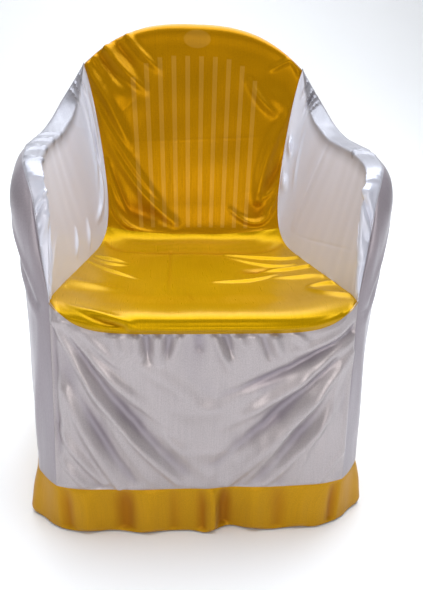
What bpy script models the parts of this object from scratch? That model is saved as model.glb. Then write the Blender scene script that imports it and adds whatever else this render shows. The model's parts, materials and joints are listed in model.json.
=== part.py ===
"""Fitted satin cover for a stacking armchair: gold seat and inner back, white arms and skirt, gold hem band.

Every panel is one thin sheet in the shape that it takes over the chair, and the chair itself is left out,
so the cover is hollow. The shape is worked out from the floor up, with x across, y towards the back and z
up, in metres. The whole cover then hangs from the point under its top rim that rests on the chair.
"""
import math
from collections import namedtuple

import bpy
from mathutils import Vector

CLOTH = 0.0012                          # thickness of every sheet
BUTT_TRIM = 0.0003                      # cut back at a seam whose sheets run on in one line
ANGLE_TRIM = 0.0010                     # cut back at a seam whose sheets meet at an angle
RIM_TRIM = 0.0022                       # cut back at the rim, where the sheets meet at a sharp angle
TOP_POINT = Vector((0.0, 0.540, 0.825))  # underside of the top rim, where the chair carries the cover

BAND_SEAM_HEIGHT = 0.091                # seam between the panels and the hem band
HEM_EDGE_HEIGHT = 0.003
CORNER_LIFT = 0.004                     # the band's seam is this much higher at the front corners

# The seams that bound the arm, row by row from the seat's front corner to the top rim, on the right side.
# gold: seam with the gold cloth. ridge: inner edge of the arm's top. seam: outer seam of the arm.
# The next three columns belong to the side panel below the seam. bulge: how far it stands out under the
# arm. foot: where it meets the hem band. flare: how far the band's lower edge stands out from its seam.
ArmRow = namedtuple("ArmRow", "place gold ridge seam bulge foot flare")
CORNER = (0.242, 0.024, 0.427)
RIM_END = (0.226, 0.512, 0.746)
ARM_ROWS = (
    ArmRow("corner", CORNER, CORNER, CORNER, (0.000, 0.000), (0.248, 0.006), (0.002, 0.003)),
    ArmRow("front 1", (0.2435, 0.036, 0.425), (0.2410, 0.038, 0.500), (0.2520, 0.037, 0.500),
           (0.004, -0.002), (0.262, 0.022), (0.006, 0.002)),
    ArmRow("front 2", (0.2435, 0.055, 0.424), (0.2390, 0.048, 0.582), (0.2600, 0.047, 0.580),
           (0.008, -0.004), (0.276, 0.042), (0.012, 0.001)),
    ArmRow("knuckle", (0.2410, 0.080, 0.422), (0.2460, 0.068, 0.616), (0.2720, 0.070, 0.613),
           (0.016, -0.006), (0.288, 0.066), (0.014, 0.000)),
    ArmRow("arm 1", (0.2350, 0.125, 0.418), (0.2540, 0.115, 0.628), (0.2830, 0.108, 0.629),
           (0.019, 0.000), (0.296, 0.125), (0.013, 0.000)),
    ArmRow("arm 2", (0.2220, 0.210, 0.411), (0.2610, 0.210, 0.630), (0.2970, 0.210, 0.631),
           (0.012, 0.000), (0.299, 0.225), (0.011, 0.000)),
    ArmRow("arm 3", (0.2080, 0.300, 0.404), (0.2620, 0.300, 0.627), (0.3000, 0.300, 0.628),
           (0.010, 0.000), (0.299, 0.325), (0.011, 0.000)),
    ArmRow("arm 4", (0.1930, 0.375, 0.405), (0.2580, 0.370, 0.628), (0.3000, 0.370, 0.627),
           (0.010, 0.004), (0.295, 0.415), (0.011, 0.002)),
    ArmRow("waist 1", (0.1820, 0.412, 0.432), (0.2530, 0.415, 0.638), (0.2950, 0.415, 0.634),
           (0.008, 0.008), (0.284, 0.490), (0.008, 0.007)),
    ArmRow("waist 2", (0.1800, 0.438, 0.485), (0.2470, 0.447, 0.650), (0.2850, 0.446, 0.650),
           (0.000, 0.000), (0.264, 0.552), (0.004, 0.009)),
    ArmRow("back 1", (0.1880, 0.463, 0.560), (0.2420, 0.472, 0.667), (0.2700, 0.474, 0.677),
           None, None, None),
    ArmRow("back 2", (0.2000, 0.485, 0.635), (0.2365, 0.486, 0.690), (0.2540, 0.489, 0.702),
           None, None, None),
    ArmRow("back 3", (0.2100, 0.498, 0.685), (0.2320, 0.498, 0.714), (0.2400, 0.500, 0.724),
           None, None, None),
    ArmRow("back 4", (0.2190, 0.507, 0.722), (0.2290, 0.506, 0.731), (0.2320, 0.507, 0.737),
           None, None, None),
    ArmRow("lip", (0.2245, 0.5100, 0.740), (0.2270, 0.5095, 0.742), (0.2285, 0.5105, 0.743),
           None, None, None),
    ArmRow("rim", RIM_END, RIM_END, RIM_END, None, None, None),
)
WAIST = 8                               # row where the seat ends and the inner back starts
SIDE_END = 9                            # row where the side panel ends and the outer back starts
RIM = len(ARM_ROWS) - 1

# The middle of the gold cloth on the same rows. level: share of the half width that stays level.
# power: how late the cloth turns from the middle's line towards its seams.
GoldRow = namedtuple("GoldRow", "place y z level power")
GOLD_ROWS = (
    GoldRow("corner", -0.008, 0.387, 0.00, 6.5),
    GoldRow("front 1", -0.012, 0.401, 0.00, 6.0),
    GoldRow("front 2", -0.001, 0.4145, 0.00, 5.0),
    GoldRow("knuckle", 0.040, 0.415, 0.10, 4.0),
    GoldRow("arm 1", 0.120, 0.400, 0.35, 2.0),
    GoldRow("arm 2", 0.210, 0.400, 0.35, 2.0),
    GoldRow("arm 3", 0.300, 0.400, 0.35, 2.0),
    GoldRow("arm 4", 0.375, 0.400, 0.35, 2.0),
    GoldRow("waist 1", 0.418, 0.415, 0.10, 2.2),
    GoldRow("waist 2", 0.440, 0.475, 0.00, 2.2),
    GoldRow("back 1", 0.463, 0.560, 0.00, 2.3),
    GoldRow("back 2", 0.487, 0.645, 0.00, 2.5),
    GoldRow("back 3", 0.508, 0.725, 0.00, 2.6),
    GoldRow("back 4", 0.522, 0.785, 0.00, 2.7),
    GoldRow("lip", 0.529, 0.817, 0.00, 2.7),
    GoldRow("rim", 0.541, 0.828, 0.00, 2.7),
)

# Front skirt and outer back
SKIRT_FOOT_Y = -0.005
SKIRT_CORNER_POWER = 8.0
HEM_FRONT_FLARE = -0.003
BACK_FOOT_BOW = 0.010
BACK_BULGE = 0.016                      # the outer back rounds out behind the rim by this much
BACK_BULGE_REACH = 0.05                 # share of the drop at which it is largest
BULGE_REACH = 0.09                      # share of the drop at which the side's bulge is largest
ARM_CROWN = 0.003                       # the arm's top band is this much higher along its middle
ARM_PANEL_START = 0.30                  # the arm panel's blunt ends, in rows from the corner and the rim
ARM_PANEL_END = RIM - 1.2

# Main folds of the drape: a soft ridge, or a trough where the height is negative, from one point of a
# panel to another. The skirt and the inner back give (x, z), the seat gives (x, y), the sides (y, z).
Fold = namedtuple("Fold", "start end width height")
SKIRT_FOLDS = (
    Fold((-0.228, 0.375), (-0.060, 0.110), 0.022, 0.008),
    Fold((-0.225, 0.400), (-0.100, 0.240), 0.018, -0.007),
    Fold((-0.236, 0.250), (-0.150, 0.110), 0.020, -0.007),
    Fold((0.232, 0.380), (0.020, 0.260), 0.018, -0.008),
    Fold((0.222, 0.350), (0.040, 0.180), 0.022, 0.008),
    Fold((0.226, 0.300), (0.060, 0.120), 0.020, -0.006),
    Fold((-0.100, 0.384), (-0.085, 0.330), 0.014, 0.004),
    Fold((0.080, 0.384), (0.070, 0.330), 0.014, 0.004),
)
BACK_FOLDS = (
    Fold((-0.195, 0.620), (-0.070, 0.470), 0.018, 0.006),
    Fold((-0.150, 0.500), (-0.075, 0.450), 0.018, -0.007),
    Fold((-0.205, 0.730), (-0.140, 0.600), 0.018, 0.005),
    Fold((0.185, 0.620), (0.120, 0.510), 0.018, 0.005),
    Fold((0.150, 0.490), (0.115, 0.450), 0.018, -0.007),
    Fold((0.200, 0.730), (0.150, 0.640), 0.016, -0.004),
)
SEAT_FOLDS = (
    Fold((-0.205, 0.215), (-0.105, 0.170), 0.018, 0.004),
    Fold((-0.210, 0.065), (-0.130, 0.015), 0.018, -0.005),
    Fold((0.205, 0.240), (0.080, 0.330), 0.016, 0.005),
    Fold((0.220, 0.150), (0.110, 0.165), 0.018, 0.004),
)
SIDE_FOLDS = (
    Fold((0.080, 0.560), (0.140, 0.150), 0.025, 0.006),
    Fold((0.190, 0.560), (0.230, 0.120), 0.028, -0.006),
    Fold((0.330, 0.580), (0.330, 0.120), 0.025, 0.006),
    Fold((0.430, 0.560), (0.450, 0.120), 0.028, -0.005),
)
SEAM_HOLD = 0.6                         # folds fade towards a panel's seams, later with a smaller value

# Waves of the front hem band: place across the front, half width and how far the edge is pushed out.
HemWave = namedtuple("HemWave", "x width push")
FRONT_WAVES = (
    HemWave(-0.155, 0.030, -0.005),
    HemWave(-0.100, 0.025, 0.004),
    HemWave(0.008, 0.018, 0.008),
    HemWave(0.052, 0.022, -0.009),
    HemWave(0.120, 0.030, 0.004),
    HemWave(0.205, 0.020, 0.005),
)
SEAM_WAVE_SHARE = 0.25                  # a wave's size at the band's seam, as a share of the hem edge's
SIDE_WAVE = 0.004
SIDE_WAVE_COUNT = 4.5
BACK_WAVE = 0.004
BACK_WAVE_COUNT = 5.5

X, Y, Z = 0, 1, 2

# Mesh steps
ROW_STEPS = 2                           # between two rows of the tables
GOLD_COLUMNS = 20
SKIRT_COLUMNS = 24
SKIRT_LEVELS = 9
SIDE_LEVELS = 7
BACK_LEVELS = 8
CROWDING = 1.7
BAND_LEVELS = 2
INNER_ARM_SHARES = (0.0, 0.3, 0.6, 0.88)
ARM_TOP_SHARES = (0.3, 0.65, 1.0)

GOLD = (0.55, 0.30, 0.015)
HEM_GOLD = (0.42, 0.24, 0.025)
WHITE = (0.66, 0.63, 0.70)
SATIN_ROUGHNESS = 0.36


def clear_scene():
    """Remove whatever the file starts with."""
    for item in list(bpy.data.objects):
        bpy.data.objects.remove(item, do_unlink=True)


def spline(points, t):
    """Point at t on the smooth curve that passes through points at 0, 1, 2 and so on."""
    last = len(points) - 1
    k = min(int(math.floor(t)), last - 1)
    f = t - k
    p1 = Vector(points[k])
    p2 = Vector(points[k + 1])
    p0 = Vector(points[k - 1]) if k > 0 else p1 * 2 - p2
    p3 = Vector(points[k + 2]) if k + 2 <= last else p2 * 2 - p1
    return 0.5 * (2 * p1 + (p2 - p0) * f + (2 * p0 - 5 * p1 + 4 * p2 - p3) * f ** 2
                  + (3 * p1 - p0 - 3 * p2 + p3) * f ** 3)


def column(rows, name):
    """One named column of a table, down to its last filled row."""
    return [getattr(row, name) for row in rows if getattr(row, name) is not None]


def steps(first, last, count):
    """Evenly spaced values from first to last, both included."""
    return [first + (last - first) * i / count for i in range(count + 1)]


def hump(share, reach):
    """Rises from 0 to 1 where share equals reach, and dies away past it."""
    return share / reach * math.exp(1 - share / reach)


def fold_height(folds, place):
    """Sum of a panel's folds at one place."""
    total = 0.0
    for fold in folds:
        start = Vector(fold.start)
        run = Vector(fold.end) - start
        along = (place - start).dot(run) / run.length_squared
        near = start + run * min(max(along, 0.0), 1.0)
        total += fold.height * math.exp(-((place - near).length / fold.width) ** 2)
    return total


def grid_normals(grid):
    """Normal at every point of a grid, the mean of the cells around it."""
    rows = len(grid)
    columns = len(grid[0])
    normals = [[Vector() for _ in range(columns)] for _ in range(rows)]
    for i in range(rows - 1):
        for j in range(columns - 1):
            cell = (grid[i + 1][j + 1] - grid[i][j]).cross(grid[i][j + 1] - grid[i + 1][j])
            for k, m in ((i, j), (i + 1, j), (i, j + 1), (i + 1, j + 1)):
                normals[k][m] += cell
    return [[normal.normalized() for normal in line] for line in normals]


def press_folds(grid, folds, first_axis, second_axis, outward):
    """Raise a panel's folds along its normals, held still at its seams.

    outward: 1 where the grid's normals point out of the chair, -1 where they point into it.
    """
    normals = grid_normals(grid)
    last_row = len(grid) - 1
    last_column = len(grid[0]) - 1
    for i, line in enumerate(grid):
        for j, point in enumerate(line):
            hold = (math.sin(math.pi * i / last_row) * math.sin(math.pi * j / last_column)) ** SEAM_HOLD
            place = Vector((point[first_axis], point[second_axis]))
            line[j] = point + normals[i][j] * outward * hold * fold_height(folds, place)
    return grid


def wave_push(x):
    """How far the front hem's edge is pushed out at x."""
    return sum(wave.push * math.exp(-((x - wave.x) / wave.width) ** 2) for wave in FRONT_WAVES)


def gold_point(t, across):
    """Gold cloth at row t, with across running from -1 at the left seam to 1 at the right seam."""
    seam = spline(column(ARM_ROWS, "gold"), t)
    middle = spline([(row.y, row.z) for row in GOLD_ROWS], t)
    shape = spline([(row.level, row.power) for row in GOLD_ROWS], t)
    reach = max(abs(across) - shape.x, 0.0) / (1 - shape.x)
    turn = reach ** shape.y
    return Vector((across * seam.x,
                   middle.x + (seam.y - middle.x) * turn,
                   middle.y + (seam.z - middle.y) * turn))


def arm_section(t):
    """The right arm panel's points at row t, from the gold seam over the ridge to the outer seam."""
    gold = spline(column(ARM_ROWS, "gold"), t)
    ridge = spline(column(ARM_ROWS, "ridge"), t)
    seam = spline(column(ARM_ROWS, "seam"), t)
    inner = [gold.lerp(ridge, share) for share in INNER_ARM_SHARES]
    top = [ridge.lerp(seam, share) for share in ARM_TOP_SHARES]
    for point, share in zip(top, ARM_TOP_SHARES):
        point.z += ARM_CROWN * math.sin(math.pi * share)
    rounded = ridge * 0.6 + (inner[-1] + top[0]) * 0.2
    return inner + [rounded] + top


def band_seam_front(across):
    """Seam of the skirt and the front band."""
    turn = abs(across) ** SKIRT_CORNER_POWER
    foot = Vector(ARM_ROWS[0].foot)
    x = across * foot.x
    y = SKIRT_FOOT_Y + (foot.y - SKIRT_FOOT_Y) * turn
    y -= wave_push(x) * SEAM_WAVE_SHARE * (1 - turn)
    return Vector((x, y, BAND_SEAM_HEIGHT + CORNER_LIFT * across ** 4))


def hem_edge_front(across):
    """Lower edge of the front band."""
    turn = abs(across) ** SKIRT_CORNER_POWER
    seam = band_seam_front(across)
    flare = Vector(ARM_ROWS[0].flare)
    push = wave_push(seam.x) * (1 - SEAM_WAVE_SHARE) * (1 - turn)
    return Vector((seam.x + across * flare.x,
                   seam.y + HEM_FRONT_FLARE + (flare.y - HEM_FRONT_FLARE) * turn - push,
                   HEM_EDGE_HEIGHT))


def band_seam_side(t):
    """Seam of the right side panel and its band, at row t."""
    foot = spline(column(ARM_ROWS, "foot"), t)
    rise = CORNER_LIFT * max(0.0, 1 - t / SIDE_END) ** 4
    return Vector((foot.x, foot.y, BAND_SEAM_HEIGHT + rise))


def hem_edge_side(t):
    """Lower edge of the right band, at row t."""
    seam = band_seam_side(t)
    flare = spline(column(ARM_ROWS, "flare"), t)
    share = t / SIDE_END
    wave = SIDE_WAVE * math.sin(2 * math.pi * SIDE_WAVE_COUNT * share) * math.sin(math.pi * share)
    return Vector((seam.x + flare.x + wave, seam.y + flare.y, HEM_EDGE_HEIGHT))


def band_seam_back(across):
    """Seam of the outer back and its band."""
    foot = Vector(ARM_ROWS[SIDE_END].foot)
    return Vector((across * foot.x, foot.y + BACK_FOOT_BOW * (1 - across ** 2), BAND_SEAM_HEIGHT))


def hem_edge_back(across):
    """Lower edge of the back band."""
    seam = band_seam_back(across)
    flare = Vector(ARM_ROWS[SIDE_END].flare)
    wave = BACK_WAVE * math.sin(math.pi * BACK_WAVE_COUNT * across) * (1 - across ** 2)
    return Vector((seam.x + across * flare.x, seam.y + flare.y + wave, HEM_EDGE_HEIGHT))


def outer_back_top():
    """Upper edge of the outer back: up one side's seam, over the top rim and down the other side."""
    climb = [spline(column(ARM_ROWS, "seam"), t) for t in range(SIDE_END, RIM + 1)]
    arch = [gold_point(RIM, a) for a in steps(1.0, -1.0, GOLD_COLUMNS)]
    fall = [mirrored(point) for point in reversed(climb)]
    return climb[:-1] + arch + fall[1:]


def mirrored(point):
    """The same place on the other side."""
    return Vector((-point.x, point.y, point.z))


def mirror_grid(grid):
    """A panel's grid for the left side, turned so that its faces still point out."""
    return [[mirrored(point) for point in reversed(line)] for line in grid]


def levels(count, crowding=1.0):
    """Shares of a drop from 0 to 1, closer together near the top with a larger crowding."""
    return [(i / count) ** crowding for i in range(count + 1)]


def drop(tops, feet, shares):
    """Grid of lines from each top point to the foot below it."""
    return [[top.lerp(foot, v) for top, foot in zip(tops, feet)] for v in shares]


def seat_grid():
    rows = steps(0, WAIST, ROW_STEPS * WAIST)
    grid = [[gold_point(t, a) for a in steps(-1.0, 1.0, GOLD_COLUMNS)] for t in rows]
    return press_folds(grid, SEAT_FOLDS, X, Y, -1)


def inner_back_grid():
    rows = steps(WAIST, RIM, ROW_STEPS * (RIM - WAIST))
    grid = [[gold_point(t, a) for a in steps(-1.0, 1.0, GOLD_COLUMNS)] for t in rows]
    return press_folds(grid, BACK_FOLDS, X, Z, -1)


def arm_grid():
    rows = steps(ARM_PANEL_START, ARM_PANEL_END, ROW_STEPS * RIM - 2)
    return [arm_section(t) for t in rows]


def skirt_grid():
    across = steps(-1.0, 1.0, SKIRT_COLUMNS)
    tops = [gold_point(0, a) for a in across]
    grid = drop(tops, [band_seam_front(a) for a in across], levels(SKIRT_LEVELS))
    return press_folds(grid, SKIRT_FOLDS, X, Z, 1)


def side_grid():
    rows = steps(0, SIDE_END, ROW_STEPS * SIDE_END)
    tops = [spline(column(ARM_ROWS, "seam"), t) for t in rows]
    shares = levels(SIDE_LEVELS, CROWDING)
    grid = drop(tops, [band_seam_side(t) for t in rows], shares)
    for v, line in zip(shares, grid):
        for t, point in zip(rows, line):
            bulge = spline(column(ARM_ROWS, "bulge"), t) * hump(v, BULGE_REACH)
            point.x += bulge.x
            point.y += bulge.y
    return press_folds(grid, SIDE_FOLDS, Y, Z, 1)


def outer_back_grid():
    tops = outer_back_top()
    across = [top.x / tops[0].x for top in tops]
    shares = levels(BACK_LEVELS, CROWDING)
    grid = drop(tops, [band_seam_back(a) for a in across], shares)
    for v, line in zip(shares, grid):
        for a, point in zip(across, line):
            point.y += BACK_BULGE * hump(v, BACK_BULGE_REACH) * (1 - a ** 2)
    return grid


def front_band_grid():
    across = steps(-1.0, 1.0, SKIRT_COLUMNS)
    return drop([band_seam_front(a) for a in across], [hem_edge_front(a) for a in across], levels(BAND_LEVELS))


def side_band_grid():
    rows = steps(0, SIDE_END, ROW_STEPS * SIDE_END)
    return drop([band_seam_side(t) for t in rows], [hem_edge_side(t) for t in rows], levels(BAND_LEVELS))


def back_band_grid():
    across = [top.x / ARM_ROWS[SIDE_END].seam[0] for top in outer_back_top()]
    return drop([band_seam_back(a) for a in across], [hem_edge_back(a) for a in across], levels(BAND_LEVELS))


def cut_back(grid, trims):
    """Pull each edge of a grid in by its trim, so that neighbours keep their gap.

    trims: first row, last row, first column and last column.
    """
    normals = grid_normals(grid)
    rows = len(grid)
    columns = len(grid[0])
    moves = {}
    for j in range(columns):
        low, high = max(j - 1, 0), min(j + 1, columns - 1)
        for i, trim, turn in ((0, trims[0], 1), (rows - 1, trims[1], -1)):
            along = (grid[i][high] - grid[i][low]).normalized()
            moves.setdefault((i, j), []).append(along.cross(normals[i][j]) * trim * turn)
    for i in range(rows):
        low, high = max(i - 1, 0), min(i + 1, rows - 1)
        for j, trim, turn in ((0, trims[2], -1), (columns - 1, trims[3], 1)):
            along = (grid[high][j] - grid[low][j]).normalized()
            moves.setdefault((i, j), []).append(along.cross(normals[i][j]) * trim * turn)
    for (i, j), shifts in moves.items():
        grid[i][j] = grid[i][j] + sum(shifts, Vector())
    return grid


def satin(name, colour):
    """Plain satin finish."""
    material = bpy.data.materials.new(name)
    material.use_nodes = True
    shader = material.node_tree.nodes["Principled BSDF"]
    shader.inputs["Base Color"].default_value = (*colour, 1.0)
    shader.inputs["Roughness"].default_value = SATIN_ROUGHNESS
    shader.inputs["Metallic"].default_value = 0.0
    return material


def sheet(name, grid, trims, colour, hang):
    """One panel: the grid as a mesh, thickened evenly to both sides, hung from the top point."""
    grid = cut_back(grid, trims)
    columns = len(grid[0])
    vertices = [point for line in grid for point in line]
    faces = []
    for i in range(len(grid) - 1):
        for j in range(columns - 1):
            corner = i * columns + j
            faces.append((corner, corner + columns, corner + columns + 1, corner + 1))
    mesh = bpy.data.meshes.new(name)
    mesh.from_pydata(vertices, [], faces)
    mesh.shade_smooth()
    mesh.materials.append(satin(name + "_satin", colour))
    panel = bpy.data.objects.new(name, mesh)
    bpy.context.scene.collection.objects.link(panel)
    panel.parent = hang
    thick = panel.modifiers.new("cloth", "SOLIDIFY")
    thick.thickness = CLOTH
    thick.offset = 0.0
    thick.use_quality_normals = True
    return panel


def build():
    clear_scene()
    hang = bpy.data.objects.new("chair_top", None)
    hang.location = -TOP_POINT
    bpy.context.scene.collection.objects.link(hang)
    angle, butt = ANGLE_TRIM, BUTT_TRIM
    all_angles = (angle, angle, angle, angle)
    sheet("seat_panel", seat_grid(), (angle, butt, angle, angle), GOLD, hang)
    sheet("back_panel_inner", inner_back_grid(), (butt, angle, angle, angle), GOLD, hang)
    sheet("arm_panel_right", arm_grid(), all_angles, WHITE, hang)
    sheet("arm_panel_left", mirror_grid(arm_grid()), all_angles, WHITE, hang)
    sheet("front_panel", skirt_grid(), (angle, butt, angle, angle), WHITE, hang)
    sheet("side_panel_right", side_grid(), (angle, butt, angle, angle), WHITE, hang)
    sheet("side_panel_left", mirror_grid(side_grid()), (angle, butt, angle, angle), WHITE, hang)
    sheet("back_panel_outer", outer_back_grid(), (RIM_TRIM, butt, angle, angle), WHITE, hang)
    band = (butt, 0.0, angle, angle)
    sheet("band_front", front_band_grid(), band, HEM_GOLD, hang)
    sheet("band_right", side_band_grid(), band, HEM_GOLD, hang)
    sheet("band_left", mirror_grid(side_band_grid()), band, HEM_GOLD, hang)
    sheet("band_back", back_band_grid(), band, HEM_GOLD, hang)


build()
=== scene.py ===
"""Fitted satin cover for a stacking armchair: gold seat, inner back and hem, white arms, sides and skirt.

The file is laid out as an add-on. Each operator sews one panel, or a pair of panels, as a fine mesh on the
shape that its solid has in the frame, presses the folds of the drape into it and gives it a satin finish.
Sizes are metres. The tables are written floor up: x across, y towards the back, z up from the floor.
"""
import json
import math
from collections import namedtuple

import bmesh
import bpy
import numpy as np
from bpy.props import FloatProperty, FloatVectorProperty, PointerProperty
from mathutils import Matrix, Vector


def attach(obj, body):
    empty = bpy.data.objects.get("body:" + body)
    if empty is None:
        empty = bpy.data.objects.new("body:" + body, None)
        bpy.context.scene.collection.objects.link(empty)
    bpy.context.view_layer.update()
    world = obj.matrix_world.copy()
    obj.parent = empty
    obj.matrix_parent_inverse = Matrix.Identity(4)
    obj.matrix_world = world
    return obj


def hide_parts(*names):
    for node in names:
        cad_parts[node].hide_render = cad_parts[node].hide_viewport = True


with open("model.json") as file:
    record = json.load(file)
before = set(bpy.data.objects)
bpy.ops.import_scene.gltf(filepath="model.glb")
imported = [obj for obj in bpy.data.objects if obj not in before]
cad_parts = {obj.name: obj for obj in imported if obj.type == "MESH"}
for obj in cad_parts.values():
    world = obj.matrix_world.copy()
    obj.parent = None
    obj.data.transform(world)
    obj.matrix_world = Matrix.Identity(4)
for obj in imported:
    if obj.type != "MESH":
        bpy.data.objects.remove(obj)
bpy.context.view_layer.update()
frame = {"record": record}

bl_info = {
    "name": "Fitted Armchair Cover",
    "version": (1, 0, 0),
    "blender": (4, 5, 0),
    "location": "3D View > Sidebar > Chair Cover",
    "description": "Sews a fitted satin armchair cover, panel by panel",
    "category": "Add Mesh",
}

# ---------------------------------------------------------------- shape of the cover

MOUNTS = {mount["name"]: Vector(mount["pos_m"]) for mount in frame["record"]["mounts"]}
CHAIR_TOP = Vector((0.0, 0.540, 0.825))         # the top rail that carries the cover, from the floor up
TO_FRAME = MOUNTS["chair_top"] - CHAIR_TOP

BAND_SEAM_HEIGHT = 0.091
HEM_EDGE_HEIGHT = 0.003
CORNER_LIFT = 0.004

# Rows from the seat's front corner to the top rim, on the right side. gold: seam with the gold cloth.
# ridge: inner edge of the arm's top. seam: outer seam of the arm. bulge: how far the side stands out under
# the arm. foot: where the side meets the hem band. flare: how far the band's lower edge stands out.
ArmRow = namedtuple("ArmRow", "place gold ridge seam bulge foot flare")
CORNER = (0.242, 0.024, 0.427)
RIM_END = (0.226, 0.512, 0.746)
ARM_ROWS = (
    ArmRow("corner", CORNER, CORNER, CORNER, (0.000, 0.000), (0.248, 0.006), (0.002, 0.003)),
    ArmRow("front 1", (0.2435, 0.036, 0.425), (0.2410, 0.038, 0.500), (0.2520, 0.037, 0.500),
           (0.004, -0.002), (0.262, 0.022), (0.006, 0.002)),
    ArmRow("front 2", (0.2435, 0.055, 0.424), (0.2390, 0.048, 0.582), (0.2600, 0.047, 0.580),
           (0.008, -0.004), (0.276, 0.042), (0.012, 0.001)),
    ArmRow("knuckle", (0.2410, 0.080, 0.422), (0.2460, 0.068, 0.616), (0.2720, 0.070, 0.613),
           (0.016, -0.006), (0.288, 0.066), (0.014, 0.000)),
    ArmRow("arm 1", (0.2350, 0.125, 0.418), (0.2540, 0.115, 0.628), (0.2830, 0.108, 0.629),
           (0.019, 0.000), (0.296, 0.125), (0.013, 0.000)),
    ArmRow("arm 2", (0.2220, 0.210, 0.411), (0.2610, 0.210, 0.630), (0.2970, 0.210, 0.631),
           (0.012, 0.000), (0.299, 0.225), (0.011, 0.000)),
    ArmRow("arm 3", (0.2080, 0.300, 0.404), (0.2620, 0.300, 0.627), (0.3000, 0.300, 0.628),
           (0.010, 0.000), (0.299, 0.325), (0.011, 0.000)),
    ArmRow("arm 4", (0.1930, 0.375, 0.405), (0.2580, 0.370, 0.628), (0.3000, 0.370, 0.627),
           (0.010, 0.004), (0.295, 0.415), (0.011, 0.002)),
    ArmRow("waist 1", (0.1820, 0.412, 0.432), (0.2530, 0.415, 0.638), (0.2950, 0.415, 0.634),
           (0.008, 0.008), (0.284, 0.490), (0.008, 0.007)),
    ArmRow("waist 2", (0.1800, 0.438, 0.485), (0.2470, 0.447, 0.650), (0.2850, 0.446, 0.650),
           (0.000, 0.000), (0.264, 0.552), (0.004, 0.009)),
    ArmRow("back 1", (0.1880, 0.463, 0.560), (0.2420, 0.472, 0.667), (0.2700, 0.474, 0.677),
           None, None, None),
    ArmRow("back 2", (0.2000, 0.485, 0.635), (0.2365, 0.486, 0.690), (0.2540, 0.489, 0.702),
           None, None, None),
    ArmRow("back 3", (0.2100, 0.498, 0.685), (0.2320, 0.498, 0.714), (0.2400, 0.500, 0.724),
           None, None, None),
    ArmRow("back 4", (0.2190, 0.507, 0.722), (0.2290, 0.506, 0.731), (0.2320, 0.507, 0.737),
           None, None, None),
    ArmRow("lip", (0.2245, 0.5100, 0.740), (0.2270, 0.5095, 0.742), (0.2285, 0.5105, 0.743),
           None, None, None),
    ArmRow("rim", RIM_END, RIM_END, RIM_END, None, None, None),
)
WAIST = 8
SIDE_END = 9
RIM = len(ARM_ROWS) - 1

# The middle of the gold cloth on the same rows.
GoldRow = namedtuple("GoldRow", "place y z level power")
GOLD_ROWS = (
    GoldRow("corner", -0.008, 0.387, 0.00, 6.5),
    GoldRow("front 1", -0.012, 0.401, 0.00, 6.0),
    GoldRow("front 2", -0.001, 0.4145, 0.00, 5.0),
    GoldRow("knuckle", 0.040, 0.415, 0.10, 4.0),
    GoldRow("arm 1", 0.120, 0.400, 0.35, 2.0),
    GoldRow("arm 2", 0.210, 0.400, 0.35, 2.0),
    GoldRow("arm 3", 0.300, 0.400, 0.35, 2.0),
    GoldRow("arm 4", 0.375, 0.400, 0.35, 2.0),
    GoldRow("waist 1", 0.418, 0.415, 0.10, 2.2),
    GoldRow("waist 2", 0.440, 0.475, 0.00, 2.2),
    GoldRow("back 1", 0.463, 0.560, 0.00, 2.3),
    GoldRow("back 2", 0.487, 0.645, 0.00, 2.5),
    GoldRow("back 3", 0.508, 0.725, 0.00, 2.6),
    GoldRow("back 4", 0.522, 0.785, 0.00, 2.7),
    GoldRow("lip", 0.529, 0.817, 0.00, 2.7),
    GoldRow("rim", 0.541, 0.828, 0.00, 2.7),
)

SKIRT_FOOT_Y = -0.005
SKIRT_CORNER_POWER = 8.0
HEM_FRONT_FLARE = -0.003
BACK_FOOT_BOW = 0.010
BACK_BULGE = 0.016
BACK_BULGE_REACH = 0.05
BULGE_REACH = 0.09
ARM_CROWN = 0.003
RIDGE_SHARE = 0.78                              # place of the ridge across the arm panel's fine grid
RIDGE_ROUND = 0.035                             # half width of its rounding there
FOLD_SHADE_DEPTH = 0.007                            # depth of a fold's dip at which it takes its full painted shade
ARM_START = 0.02                                # the arm's grid starts this part of a row in from its tip
RIM_PROUD = 0.0020                              # how far the outer back rolls up behind the top seam
RIM_REACH = 0.004
ARM_FRONT_PAINTED_LIGHT = 0.80                          # how far the arm's front, below the knuckle, takes the inner arm's paler white: painted light
ARM_FRONT_END = (0.17, 0.25)                    # walk along the ridge over which that ends
INSIDE_END = (RIDGE_SHARE - 0.10, RIDGE_SHARE + 0.02)     # share across over which the inner arm's paler white, which is painted light, ends
THREAD_SHADE = 0.85                             # the thread's colour, as a share of the white satin's
STITCH_PITCH = 0.0042
STITCH_LENGTH = 0.0030
STITCH_RADIUS = 0.0005
STITCH_COLUMN = 3                               # mesh column, counted from the outer seam, that is stitched
CROWDING = 1.3                                  # crowds a hanging panel's rows towards its top

# Waves of the front hem band: place across the front, half width and how far the edge is pushed out.
HemWave = namedtuple("HemWave", "x width push")
FRONT_WAVES = (
    HemWave(-0.155, 0.030, -0.005),
    HemWave(-0.100, 0.025, 0.004),
    HemWave(0.008, 0.018, 0.008),
    HemWave(0.052, 0.022, -0.009),
    HemWave(0.120, 0.030, 0.004),
    HemWave(0.205, 0.020, 0.005),
)
SEAM_WAVE_SHARE = 0.25
SIDE_WAVE = 0.004
SIDE_WAVE_COUNT = 4.5
BACK_WAVE = 0.004
BACK_WAVE_COUNT = 5.5

# The chair's slats, which show through the inner back, and the moulded badge in its top rail.
SLAT_COUNT = 10
SLAT_FOOT = 0.428
SLAT_TOP = 0.767
SLAT_ARCH = 0.045                               # how much lower the outermost slats end
SLAT_SPACING = (0.0245, 0.0287)                 # at the foot and at the top
SLAT_SHARE = 0.17                               # half width of a slat, as a share of the spacing
BADGE = (0.005, 0.800)
BADGE_SIZE = (0.055, 0.035)
SLAT_BLUR = 0.02                                # softness of a slat's flanks, as a share of the spacing
SLAT_END_BLUR = 0.001
BADGE_BLUR = 0.06
BADGE_STRENGTH = 0.8
MARK_STRENGTH = 0.5

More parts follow.
